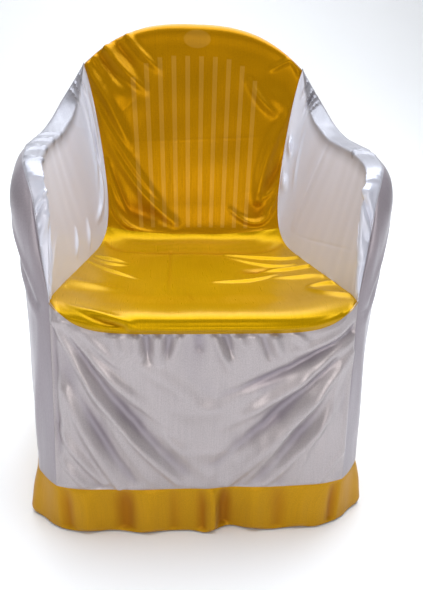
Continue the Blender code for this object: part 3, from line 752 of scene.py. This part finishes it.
def back_band_shape(step):
    """Back strip of the hem band. Places on it: x and z."""
    rows, columns = counts("back band", step)
    across = np.linspace(1, -1, columns)
    grid = drop(band_seam_back(across), hem_edge_back(across), np.linspace(0, 1, rows))
    return grid, grid[..., (X, Z)]


# ---------------------------------------------------------------- meshes

def sheet_faces(rows, columns, outward):
    """Four-sided faces of a closed sheet: its front, its rear and the wall around its border."""
    index = np.arange(rows * columns).reshape(rows, columns)
    quads = np.stack([index[:-1, :-1], index[1:, :-1], index[1:, 1:], index[:-1, 1:]], axis=-1)
    quads = quads.reshape(-1, 4)
    border = np.concatenate([index[0, :-1], index[:-1, -1], index[-1, :0:-1], index[:0:-1, 0]])
    after = np.roll(border, -1)
    walls = np.stack([border, after, after + index.size, border + index.size], axis=-1)
    if outward < 0:
        quads = quads[:, ::-1]
        walls = walls[:, ::-1]
    return np.vstack([quads, quads[:, ::-1] + index.size, walls])


def cloth_mesh(name, grid, thickness, outward, attributes):
    """A grid of points as one closed thin sheet with smooth shading and a UV map in metres."""
    rows, columns = grid.shape[:2]
    normals = normals_of(grid) * outward
    front = grid + normals * thickness / 2
    rear = grid - normals * thickness / 2
    vertices = np.vstack([front.reshape(-1, 3), rear.reshape(-1, 3)]) + np.array(TO_FRAME)
    faces = sheet_faces(rows, columns, outward)
    mesh = bpy.data.meshes.new(name)
    mesh.vertices.add(len(vertices))
    mesh.vertices.foreach_set("co", vertices.ravel())
    mesh.loops.add(faces.size)
    mesh.loops.foreach_set("vertex_index", faces.ravel())
    mesh.polygons.add(len(faces))
    mesh.polygons.foreach_set("loop_start", np.arange(0, faces.size, 4))
    mesh.update(calc_edges=True)
    mesh.validate()
    mesh.shade_smooth()
    mesh.set_sharp_from_angle(angle=SHARP_ANGLE)
    width = walk(grid, 1)
    width -= width[:, columns // 2][:, None]
    uv = np.stack([width, walk(grid, 0)], axis=-1).reshape(-1, 2)
    layer = mesh.uv_layers.new(name="cloth")
    layer.uv.foreach_set("vector", uv[faces.ravel() % (rows * columns)].ravel())
    for attribute, values in attributes.items():
        data = mesh.attributes.new(attribute, "FLOAT", "POINT").data
        data.foreach_set("value", np.tile(np.asarray(values, float).ravel(), 2))
    return mesh


def from_edges(grid, axis):
    """Walk to each point from the grid's first and from its last row or column."""
    length = walk(grid, axis)
    return length, length.take([-1], axis=axis) - length


def press(grid, places, folds, outward, sizes, hold_reach, noise=(), tucks=(1, 1, 1, 1)):
    """Press folds and soft unevenness into a panel along its normals, and draw its edges in at the seams.

    tucks: how strongly the first row, last row, first column and last column are drawn in, as shares.
    Also gives, from 0 to 1, how far down in a fold's dip each point lies; the satin gets painted shade by it.
    """
    first, last = from_edges(grid, 0)
    left, right = from_edges(grid, 1)
    height = np.zeros(grid.shape[:2])
    for fold in folds:
        height += fold_height(fold, places)
    for amount, wavelength, seed, stretch in noise:
        height += amount * soft_noise(places, wavelength, seed, stretch)
    to_edge = np.minimum(np.minimum(first, last), np.minimum(left, right))
    height *= smooth_step(0, hold_reach, to_edge) * sizes.fold_strength
    # Painted shade: share of the darker shade colour painted into the dips of the folds.
    painted_fold_shade = np.clip(-height / FOLD_SHADE_DEPTH, 0, 1)
    for edge, tuck in zip((first, last, left, right), tucks):
        height -= tuck * sizes.seam_depth * np.exp(-(edge / sizes.seam_reach) ** 2)
    return grid + normals_of(grid) * (outward * height)[..., None], {"painted_fold_shade": painted_fold_shade}


# ---------------------------------------------------------------- satin

class Nodes:
    """Short calls for building one material's nodes."""

    def __init__(self, material):
        material.use_nodes = True
        self.tree = material.node_tree
        self.shader = self.tree.nodes["Principled BSDF"]

    def add(self, kind, **values):
        node = self.tree.nodes.new(kind)
        for key, value in values.items():
            setattr(node, key, value)
        return node

    def link(self, source, target):
        self.tree.links.new(source, target)

    def number(self, operation, first, second=None):
        """A Math node on sockets or plain numbers."""
        node = self.add("ShaderNodeMath", operation=operation)
        for socket, value in zip(node.inputs, (first, second)):
            if value is None:
                continue
            if isinstance(value, (int, float)):
                socket.default_value = value
            else:
                self.link(value, socket)
        return node.outputs[0]

    def noise(self, vector, scale, detail=2.0):
        node = self.add("ShaderNodeTexNoise")
        node.inputs["Scale"].default_value = scale
        node.inputs["Detail"].default_value = detail
        node.inputs["Roughness"].default_value = 0.5
        self.link(vector, node.inputs["Vector"])
        return node.outputs["Fac"]

    def mapped(self, vector, scale):
        node = self.add("ShaderNodeMapping")
        node.inputs["Scale"].default_value = scale
        self.link(vector, node.inputs["Vector"])
        return node.outputs["Vector"]

    def range(self, value, low, high, to_low, to_high):
        node = self.add("ShaderNodeMapRange")
        for name, number in (("From Min", low), ("From Max", high), ("To Min", to_low), ("To Max", to_high)):
            node.inputs[name].default_value = number
        self.link(value, node.inputs["Value"])
        return node.outputs["Result"]

    def blend(self, share, first, second):
        """Colour between first and second, each a socket or a plain colour."""
        node = self.add("ShaderNodeMix", data_type="RGBA")
        self.link(share, node.inputs["Factor"])
        for socket, value in ((node.inputs["A"], first), (node.inputs["B"], second)):
            if isinstance(value, bpy.types.NodeSocket):
                self.link(value, socket)
            else:
                socket.default_value = (*value[:3], 1.0)
        return node.outputs["Result"]

    def attribute(self, name):
        node = self.add("ShaderNodeAttribute", attribute_name=name)
        return node.outputs["Fac"]


def shade(colour, factor):
    """A colour made lighter or darker."""
    return tuple(min(1.0, part * factor) for part in colour[:3])


# The satin's patterns, in repeats to a metre across and along the cloth.
STREAKS = (420, 14, 1)
CLOUDS = (9, 7, 1)
GRAIN = (620, 380, 1)
WEAVE = 420.0
# How far the patterns lighten or darken the satin's colour, and how strongly the darker or paler shade shows.
CLOUD_SHADES = (0.93, 1.05)
STREAK_SHADE = 0.74
STREAK_STRENGTH = 0.5
GRAIN_SHADE = 1.22
GRAIN_STRENGTH = 0.55
# Painted shade: how strongly the shade colour is painted into the dips of the folds.
FOLD_SHADE_STRENGTH = 0.75
GLOSS_SPREAD = (-0.04, 0.06)                    # the streaks vary the roughness by this much
WEAVE_DISTORTION = 0.6
BUMP_STRENGTH = 0.10
BUMP_HEIGHT = 0.0004
METALLIC = 0.3
SPECULAR = 0.6
ANISOTROPY = 0.55
SHEEN = 0.15
SHEEN_ROUGHNESS = 0.35


def satin(name, colour, fold_shade_colour, shine, roughness, sheen=SHEEN):
    """Woven satin: long glossy floats across a fine weave, with soft variation in colour and gloss, and
    painted shade in the dips of its folds.
    """
    material = bpy.data.materials.new(name)
    nodes = Nodes(material)
    cloth = nodes.add("ShaderNodeUVMap", uv_map="cloth").outputs["UV"]
    streaks = nodes.noise(nodes.mapped(cloth, STREAKS), 1.0, 3.0)
    cloud = nodes.noise(nodes.mapped(cloth, CLOUDS), 1.0, 3.0)
    dark, pale = (shade(colour, factor) for factor in CLOUD_SHADES)
    tint = nodes.blend(nodes.range(cloud, 0.3, 0.7, 0, 1), dark, pale)
    streak_share = nodes.range(streaks, 0.35, 0.75, 0, STREAK_STRENGTH)
    tint = nodes.blend(streak_share, tint, shade(colour, STREAK_SHADE))
    grain = nodes.noise(nodes.mapped(cloth, GRAIN), 1.0, 1.0)
    grain_share = nodes.range(grain, 0.35, 0.65, 0, GRAIN_STRENGTH)
    tint = nodes.blend(grain_share, tint, shade(colour, GRAIN_SHADE))
    # Painted shade: the colour turns towards a darker shade colour where the panel's folds dip in.
    tint = nodes.blend(nodes.number("MULTIPLY", nodes.attribute("painted_fold_shade"), FOLD_SHADE_STRENGTH), tint, fold_shade_colour)
    gloss = nodes.range(streaks, 0.25, 0.75, *(roughness + spread for spread in GLOSS_SPREAD))
    weave = nodes.add("ShaderNodeTexWave", wave_type="BANDS", bands_direction="DIAGONAL")
    weave.inputs["Scale"].default_value = WEAVE
    weave.inputs["Distortion"].default_value = WEAVE_DISTORTION
    nodes.link(cloth, weave.inputs["Vector"])
    bump = nodes.add("ShaderNodeBump")
    bump.inputs["Strength"].default_value = BUMP_STRENGTH
    bump.inputs["Distance"].default_value = BUMP_HEIGHT
    nodes.link(nodes.number("ADD", nodes.number("MULTIPLY", weave.outputs["Fac"], 0.5), streaks),
               bump.inputs["Height"])
    tangent = nodes.add("ShaderNodeTangent", direction_type="UV_MAP", uv_map="cloth")
    inputs = nodes.shader.inputs
    nodes.link(tint, inputs["Base Color"])
    nodes.link(gloss, inputs["Roughness"])
    nodes.link(bump.outputs["Normal"], inputs["Normal"])
    nodes.link(tangent.outputs["Tangent"], inputs["Tangent"])
    inputs["Metallic"].default_value = METALLIC
    inputs["Specular IOR Level"].default_value = SPECULAR
    inputs["Specular Tint"].default_value = (*shine[:3], 1.0)
    inputs["Anisotropic"].default_value = ANISOTROPY
    inputs["Sheen Weight"].default_value = sheen
    inputs["Sheen Roughness"].default_value = SHEEN_ROUGHNESS
    return material, nodes, tint


def add_piece(name, mesh, material, node):
    """Link a panel, put its finish on, and let it stand for its solid in the frame."""
    piece = bpy.data.objects.new(name, mesh)
    bpy.context.scene.collection.objects.link(piece)
    mesh.materials.append(material)
    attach(piece, "root")
    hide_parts(node)
    return piece


def slat_marks(grid):
    """Where each point of the inner back lies among the chair's slats, and from the badge in its top rail."""
    x, z = grid[..., X], grid[..., Z]
    share = (z - SLAT_FOOT) / (SLAT_TOP - SLAT_FOOT)
    spacing = SLAT_SPACING[0] + (SLAT_SPACING[1] - SLAT_SPACING[0]) * share
    place = x / spacing
    middle = (np.floor(place) + 0.5) / (SLAT_COUNT / 2 - 0.5)
    top = SLAT_TOP - SLAT_ARCH * middle ** 4
    reach = np.minimum(np.minimum(top - z, z - SLAT_FOOT), (SLAT_COUNT / 2 - np.abs(place)) * spacing)
    badge = np.hypot((x - BADGE[0]) / BADGE_SIZE[0], (z - BADGE[1]) / BADGE_SIZE[1]) * 2
    return {"slat_place": place, "slat_reach": reach, "badge": badge}


# ---------------------------------------------------------------- settings

def length_setting(name, description, default, low, high):
    """A length with its label, its tooltip, its default value and its range."""
    return FloatProperty(name=name, description=description, default=default, min=low, max=high,
                         unit="LENGTH")


def colour_setting(name, description, default):
    """A colour with its label, its tooltip and its default value."""
    return FloatVectorProperty(name=name, description=description, default=default, subtype="COLOR", size=3,
                               min=0, max=1)


class CoverSizes(bpy.types.PropertyGroup):
    """Sizes of the cover's cloth and seams."""

    step: length_setting("Mesh Step", "Spacing of the mesh on the panels that show most",
                         0.0026, 0.002, 0.02)
    back_step: length_setting("Hidden Mesh Step", "Spacing of the mesh on the other panels",
                              0.0045, 0.002, 0.02)
    thickness: length_setting("Cloth Thickness", "Thickness of the satin with its turnings",
                              0.0009, 0.0002, 0.003)
    fold_strength: FloatProperty(name="Fold Strength", description="How strongly the folds stand out",
                                 default=1.0, min=0.0, max=2.0, subtype="FACTOR")
    seam_depth: length_setting("Seam Depth", "How far a seam pulls the cloth in", 0.0009, 0.0, 0.005)
    seam_reach: length_setting("Seam Reach", "How far from a seam the cloth is pulled in",
                               0.003, 0.001, 0.02)


class CoverColours(bpy.types.PropertyGroup):
    """Colours of the satins."""

    gold: colour_setting("Gold", "Satin of the seat, which takes the light", (0.448, 0.252, 0.001))
    # Painted shade: the inner back's gold is a darker, more orange copy of the seat's gold, for the shade and
    # gold bounce on the back.
    back_gold_shaded: colour_setting("Back Gold", "Satin of the inner back, thin over its slats",
                              (0.415, 0.190, 0.001))
    white: colour_setting("White", "Satin of the arms, the sides and the skirt", (0.43, 0.39, 0.398))
    hem: colour_setting("Hem Gold", "Satin of the hem band", (0.485, 0.250, 0.004))
    # Painted shade: darker colours that the satins are painted with in the dips of their folds.
    gold_fold_shade: colour_setting("Deep Gold", "Gold satin in the hollows of folds", (0.34, 0.11, 0.001))
    white_fold_shade: colour_setting("Deep White", "White satin in the hollows of folds", (0.255, 0.220, 0.262))
    gold_shine: colour_setting("Gold Shine", "Colour of the gloss on the gold satin", (0.70, 0.42, 0.03))
    white_shine: colour_setting("White Shine", "Colour of the gloss on the white satin",
                                (0.86, 0.845, 0.86))
    hem_shine: colour_setting("Hem Shine", "Colour of the gloss on the hem satin", (0.62, 0.41, 0.18))
    # Painted shade: the arm tops get a darker white than the rest of the arm, holding back the overhead light
    # that falls on them.
    arm_top_painted_shade: colour_setting("Arm Top", "White satin over the top of the arms", (0.30, 0.297, 0.33))
    slat: colour_setting("Slat Mark", "Gold satin where a slat of the chair shows through",
                         (0.56, 0.30, 0.04))
    # Painted light: the inner arm and the arm's front get a paler, bluer white, standing in for light those
    # faces lack and offsetting the gold's warm bounce.
    inner_arm_painted_light: colour_setting("Inner Arm", "White satin over the open inside of the arms", (0.73, 0.745, 0.84))
    # Painted shade: the sides get a darker, mauver white than the skirt and outer back, for the shade they
    # hang in.
    side: colour_setting("Side", "White satin of the sides, which hang in shade", (0.320, 0.285, 0.312))
    floor: colour_setting("Floor", "Pale floor and backdrop", (0.96, 0.96, 0.96))


# ---------------------------------------------------------------- operators

# How a panel is made up. slot: its material slot. held: how the chair carries it. outward: 1 where its grid's
# normals point out of the chair, -1 where they point in. reach: distance from a seam over which folds fade.
# noise: soft unevenness, each as height, wavelength, seed and stretch. tucks: as press takes them.
Cut = namedtuple("Cut", "slot held outward reach noise tucks", defaults=((1, 1, 1, 1),))
SEAT_CUT = Cut("gold_satin", "stretched", -1, 0.005, ((0.0004, 0.09, 3, (1, 1)),), (1, 0, 0, 0))
BACK_CUT = Cut("gold_satin", "stretched", -1, 0.007, ((0.0004, 0.09, 4, (1, 1)),), (0, 1, 0.2, 0.2))
ARM_CUT = Cut("white_satin", "stretched", -1, 0.005, ((0.0005, 0.045, 5, (1, 5)),), (0, 0, 0, 0.8))
SKIRT_CUT = Cut("white_satin", "hung", 1, 0.005,
                ((0.0022, 0.10, 6, (1, 1.5)), (0.0004, 0.03, 8, (1, 2))), (1, 0.6, 0, 0))
SIDE_CUT = Cut("white_satin", "hung", 1, 0.006, ((0.0010, 0.09, 7, (1, 2.5)),), (0.8, 0.6, 0, 0))
OUTER_BACK_CUT = Cut("white_satin", "hung", 1, 0.015, ((0.0010, 0.10, 11, (1, 3)),))
HEM_CUT = Cut("hem_satin", "hung", 1, 0.008, ((0.0006, 0.05, 21, (1, 3)),))


class CoverPart(bpy.types.Operator):
    """Base of the cover's operators"""

    bl_options = {"REGISTER", "UNDO"}

    @property
    def sizes(self):
        return bpy.context.scene.cover_sizes

    @property
    def colours(self):
        return bpy.context.scene.cover_colours

    def white_satin(self, name, colour, roughness):
        """Satin in one of the cover's whites."""
        return satin(name, colour, self.colours.white_fold_shade, self.colours.white_shine, roughness)

    def gold_satin(self, name, colour, shine, roughness, sheen=0.0):
        """Satin in one of the cover's golds."""
        return satin(name, colour, self.colours.gold_fold_shade, shine, roughness, sheen)

    def sew(self, name, node, shape, folds, cut, material, mirror=1, seed_shift=0, marks=None):
        """Press folds into a panel's shape and add it. mirror: -1 for a left panel made from a right one."""
        base, places = shape
        noise = [(height, wavelength, seed + seed_shift, stretch)
                 for height, wavelength, seed, stretch in cut.noise]
        grid, hollows = press(base, places, folds, cut.outward, self.sizes, cut.reach, noise, cut.tucks)
        mesh = cloth_mesh(name, grid * (mirror, 1, 1), self.sizes.thickness, cut.outward * mirror,
                          {**hollows, **(marks or {})})
        return add_piece(name, mesh, material, node), grid


class COVER_OT_seat(CoverPart):
    """Sew the gold seat panel with its rolled front edge"""

    bl_idname = "cover.seat"
    bl_label = "Seat"

    def execute(self, context):
        shape = seat_shape(self.sizes.step)
        material, _, _ = self.gold_satin("seat satin", self.colours.gold, self.colours.gold_shine, 0.30)
        piece, _ = self.sew("seat", "seat_panel", shape, SEAT_FOLDS, SEAT_CUT, material)
        return {"FINISHED"}


class COVER_OT_inner_back(CoverPart):
    """Sew the gold inner back, with the chair's slats showing through"""

    bl_idname = "cover.inner_back"
    bl_label = "Inner Back"

    def execute(self, context):
        shape = back_shape(self.sizes.step)
        # Painted shade: the inner back takes the darker, more orange copy of the gold.
        material, nodes, tint = self.gold_satin("inner back satin", self.colours.back_gold_shaded,
                                                self.colours.gold_shine, 0.32)
        self.show_slats(nodes, tint)
        piece, _ = self.sew("inner_back", "back_panel_inner", shape, BACK_FOLDS, BACK_CUT, material,
                            marks=slat_marks(shape[0]))
        return {"FINISHED"}

    def show_slats(self, nodes, tint):
        """Paler bars and an oval where the chair's slats and its moulded badge lie against the satin."""
        share = nodes.number("FRACT", nodes.attribute("slat_place"))
        place = nodes.number("ABSOLUTE", nodes.number("SUBTRACT", share, 0.5))
        bars = nodes.range(place, SLAT_SHARE - SLAT_BLUR, SLAT_SHARE + SLAT_BLUR, 1, 0)
        ends = nodes.range(nodes.attribute("slat_reach"), -SLAT_END_BLUR, SLAT_END_BLUR, 0, 1)
        badge = nodes.range(nodes.attribute("badge"), 1 - BADGE_BLUR, 1 + BADGE_BLUR, BADGE_STRENGTH, 0)
        mark = nodes.number("MAXIMUM", nodes.number("MULTIPLY", bars, ends), badge)
        mark = nodes.number("MULTIPLY", mark, MARK_STRENGTH)
        nodes.link(nodes.blend(mark, tint, self.colours.slat), nodes.shader.inputs["Base Color"])


class COVER_OT_arms(CoverPart):
    """Sew the two white arm panels, from the gold seam over the arm's top to the outer seam"""

    bl_idname = "cover.arms"
    bl_label = "Arms"

    def execute(self, context):
        shape = arm_shape(self.sizes.step)
        base, places = shape
        across = np.broadcast_to(np.linspace(0, 1, base.shape[1]), base.shape[:2])
        # Painted light: share of the paler inner-arm white, over the inside of the arm and its front below
        # the knuckle.
        inside = 1 - smooth_step(*INSIDE_END, across)
        front = ARM_FRONT_PAINTED_LIGHT * (1 - smooth_step(*ARM_FRONT_END, places[..., 0]))
        material, nodes, tint = self.white_satin("arm satin", self.colours.arm_top_painted_shade, 0.40)
        nodes.link(nodes.blend(nodes.attribute("inside"), tint, self.colours.inner_arm_painted_light),
                   nodes.shader.inputs["Base Color"])
        thread, _, _ = self.white_satin("thread", shade(self.colours.white, THREAD_SHADE), 0.45)
        for side, sign, folds in (("right", 1, ARM_FOLDS_RIGHT), ("left", -1, ARM_FOLDS_LEFT)):
            laid = [lay_on_arm(fold) for fold in folds]
            piece, grid = self.sew("arm_" + side, "arm_panel_" + side, shape, laid, ARM_CUT, material,
                                   sign, sign, {"inside": np.maximum(inside, front)})
            row = grid[:, -STITCH_COLUMN] - normals_of(grid)[:, -STITCH_COLUMN] * self.sizes.thickness
            stitches = self.stitches("stitches_" + side, row * (sign, 1, 1), thread)
        return {"FINISHED"}

    def stitches(self, name, path, thread):
        """A row of short raised stitches along a path."""
        length = walk(path, 0)
        mesh = bpy.data.meshes.new(name)
        build = bmesh.new()
        for middle in np.arange(STITCH_PITCH, length[-1] - STITCH_PITCH, STITCH_PITCH):
            begin, end = (
                Vector([np.interp(middle + shift, length, path[:, axis]) for axis in (X, Y, Z)]) + TO_FRAME
                for shift in (-STITCH_LENGTH / 2, STITCH_LENGTH / 2))
            run = end - begin
            turn = run.to_track_quat("Z", "Y").to_matrix().to_4x4()
            place = Matrix.Translation((begin + end) / 2) @ turn
            stretch = Matrix.Diagonal((STITCH_RADIUS, STITCH_RADIUS, run.length / 2, 1.0))
            bmesh.ops.create_uvsphere(build, u_segments=8, v_segments=6, radius=1.0, matrix=place @ stretch)
        build.to_mesh(mesh)
        build.free()
        mesh.shade_smooth()
        mesh.uv_layers.new(name="cloth")
        mesh.materials.append(thread)
        row = bpy.data.objects.new(name, mesh)
        bpy.context.scene.collection.objects.link(row)
        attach(row, "root")
        return row


class COVER_OT_skirt(CoverPart):
    """Sew the white front skirt under the seat"""

    bl_idname = "cover.skirt"
    bl_label = "Skirt"

    def execute(self, context):
        shape = skirt_shape(self.sizes.step)
        material, _, _ = self.white_satin("skirt satin", self.colours.white, 0.33)
        piece, _ = self.sew("skirt", "front_panel", shape, SKIRT_FOLDS, SKIRT_CUT, material)
        return {"FINISHED"}


class COVER_OT_sides(CoverPart):
    """Sew the two white side panels, from the arm's outer seam down to the hem band"""

    bl_idname = "cover.sides"
    bl_label = "Sides"

    def execute(self, context):
        shape = side_shape(self.sizes.back_step)
        # Painted shade: the sides take the darker side white.
        material, _, _ = self.white_satin("side satin", self.colours.side, 0.38)
        for side, sign, folds in (("right", 1, SIDE_FOLDS_RIGHT), ("left", -1, SIDE_FOLDS_LEFT)):
            piece, _ = self.sew("side_" + side, "side_panel_" + side, shape, folds, SIDE_CUT, material,
                                sign, sign)
        return {"FINISHED"}


class COVER_OT_outer_back(CoverPart):
    """Sew the plain white outer back"""

    bl_idname = "cover.outer_back"
    bl_label = "Outer Back"

    def execute(self, context):
        shape = outer_back_shape(self.sizes.back_step)
        material, _, _ = self.white_satin("outer back satin", self.colours.white, 0.38)
        piece, _ = self.sew("outer_back", "back_panel_outer", shape, OUTER_BACK_FOLDS, OUTER_BACK_CUT,
                            material)
        return {"FINISHED"}


class COVER_OT_hem_bands(CoverPart):
    """Sew the four gold strips of the hem band"""

    bl_idname = "cover.hem_bands"
    bl_label = "Hem Bands"

    def execute(self, context):
        strips = (
            ("front", band_shape(self.sizes.step), 1, BAND_FOLDS),
            ("right", side_band_shape(self.sizes.back_step), 1, SIDE_BAND_FOLDS),
            ("left", side_band_shape(self.sizes.back_step), -1, SIDE_BAND_FOLDS),
            ("back", back_band_shape(self.sizes.back_step), 1, ()),
        )
        material, _, _ = self.gold_satin("hem satin", self.colours.hem, self.colours.hem_shine, 0.42, 0.08)
        for place, shape, mirror, folds in strips:
            piece, _ = self.sew("hem_" + place, "band_" + place, shape, folds, HEM_CUT, material, mirror)
        return {"FINISHED"}


# The stage. Places are metres from the floor up.
Lamp = namedtuple("Lamp", "name place size power colour")
LAMPS = (
    Lamp("overhead", (0.2, 0.5, 3.0), 3.8, 210, (0.89, 0.945, 1.0)),
    Lamp("front", (0.1, -3.3, 1.05), 1.3, 25, (1.0, 0.955, 0.925)),
    Lamp("left", (-2.1, -2.2, 1.9), 0.8, 8, (1.0, 0.97, 0.94)),
)
LAMP_TARGET = (0, -0.3, -0.4)                   # in the frame
SKY_COLOUR = (1.0, 0.95, 0.97, 1.0)
SKY_STRENGTH = 0.18
FLOOR_REACH = 7.0
FLOOR_RISE = 4.0
FLOOR_RADIUS = 1.5
FLOOR_STEPS = 12
CAMERA_PLACE = (-0.0746, -0.9076, 0.828)
CAMERA_LENS = 39.66
CAMERA_TURN = 0.0880                            # turned to the right, tilted down and rolled, in radians
CAMERA_TILT = 0.3940
CAMERA_ROLL = 0.0330


class COVER_OT_stage(CoverPart):
    """Set the pale floor, the soft lights and the camera"""

    bl_idname = "cover.stage"
    bl_label = "Stage"

    def execute(self, context):
        scene = context.scene
        floor_z = float(TO_FRAME.z)
        self.floor(scene, floor_z)
        for lamp in LAMPS:
            self.light(scene, lamp, Vector(lamp.place) + Vector((0, 0, floor_z)))
        world = bpy.data.worlds.new("studio")
        scene.world = world
        world.use_nodes = True
        sky = world.node_tree.nodes["Background"].inputs
        sky["Color"].default_value = SKY_COLOUR
        sky["Strength"].default_value = SKY_STRENGTH
        scene.view_settings.view_transform = "Standard"
        self.camera(scene)
        return {"FINISHED"}

    def floor(self, scene, floor_z):
        """A floor that sweeps up into a backdrop."""
        profile = [(-FLOOR_REACH, floor_z)]
        for i in range(FLOOR_STEPS + 1):
            angle = math.pi / 2 * i / FLOOR_STEPS
            profile.append((FLOOR_REACH / 2 - FLOOR_RADIUS + FLOOR_RADIUS * math.sin(angle),
                            floor_z + FLOOR_RADIUS - FLOOR_RADIUS * math.cos(angle)))
        profile.append((FLOOR_REACH / 2, floor_z + FLOOR_RISE))
        vertices = [(x, y, z) for y, z in profile for x in (-FLOOR_REACH, FLOOR_REACH)]
        faces = [(2 * i, 2 * i + 1, 2 * i + 3, 2 * i + 2) for i in range(len(profile) - 1)]
        mesh = bpy.data.meshes.new("floor")
        mesh.from_pydata(vertices, [], faces)
        mesh.shade_smooth()
        floor = bpy.data.objects.new("floor", mesh)
        material = bpy.data.materials.new("pale floor")
        nodes = Nodes(material)
        place = nodes.add("ShaderNodeTexCoord").outputs["Object"]
        cloud = nodes.noise(place, 3.0)
        pale = bpy.context.scene.cover_colours.floor
        tint = nodes.blend(cloud, shade(pale, 0.99), shade(pale, 1.01))
        nodes.link(tint, nodes.shader.inputs["Base Color"])
        nodes.shader.inputs["Roughness"].default_value = 0.8
        mesh.materials.append(material)
        scene.collection.objects.link(floor)

    def light(self, scene, lamp, place):
        """A square soft light that faces the seat."""
        data = bpy.data.lights.new(lamp.name, "AREA")
        data.size = lamp.size
        data.energy = lamp.power
        data.color = lamp.colour
        light = bpy.data.objects.new(lamp.name, data)
        light.location = place
        light.rotation_euler = (place - Vector(LAMP_TARGET)).to_track_quat("Z", "Y").to_euler()
        scene.collection.objects.link(light)

    def camera(self, scene):
        """A standing view from the front, a little to the left, looking down at the seat."""
        data = bpy.data.cameras.new("camera")
        data.lens = CAMERA_LENS
        camera = bpy.data.objects.new("camera", data)
        camera.matrix_world = (Matrix.Translation(Vector(CAMERA_PLACE) + TO_FRAME)
                               @ Matrix.Rotation(-CAMERA_TURN, 4, "Z")
                               @ Matrix.Rotation(math.pi / 2 - CAMERA_TILT, 4, "X")
                               @ Matrix.Rotation(CAMERA_ROLL, 4, "Z"))
        scene.collection.objects.link(camera)
        scene.camera = camera


PARTS = (COVER_OT_seat, COVER_OT_inner_back, COVER_OT_arms, COVER_OT_skirt, COVER_OT_sides,
         COVER_OT_outer_back, COVER_OT_hem_bands, COVER_OT_stage)


class COVER_PT_sidebar(bpy.types.Panel):
    """Lists the cover's parts in the sidebar"""

    bl_idname = "COVER_PT_sidebar"
    bl_label = "Armchair Cover"
    bl_space_type = "VIEW_3D"
    bl_region_type = "UI"
    bl_category = "Chair Cover"

    def draw(self, context):
        for group in (context.scene.cover_sizes, context.scene.cover_colours):
            for name in group.__annotations__:
                self.layout.prop(group, name)
        for part in PARTS:
            self.layout.operator(part.bl_idname)


CLASSES = (CoverSizes, CoverColours, *PARTS, COVER_PT_sidebar)


def register():
    for item in CLASSES:
        bpy.utils.register_class(item)
    bpy.types.Scene.cover_sizes = PointerProperty(type=CoverSizes)
    bpy.types.Scene.cover_colours = PointerProperty(type=CoverColours)


def unregister():
    del bpy.types.Scene.cover_sizes
    del bpy.types.Scene.cover_colours
    for item in reversed(CLASSES):
        bpy.utils.unregister_class(item)


def main():
    register()
    for part in PARTS:
        group, name = part.bl_idname.split(".")
        getattr(getattr(bpy.ops, group), name)()


if __name__ == "__main__":
    main()
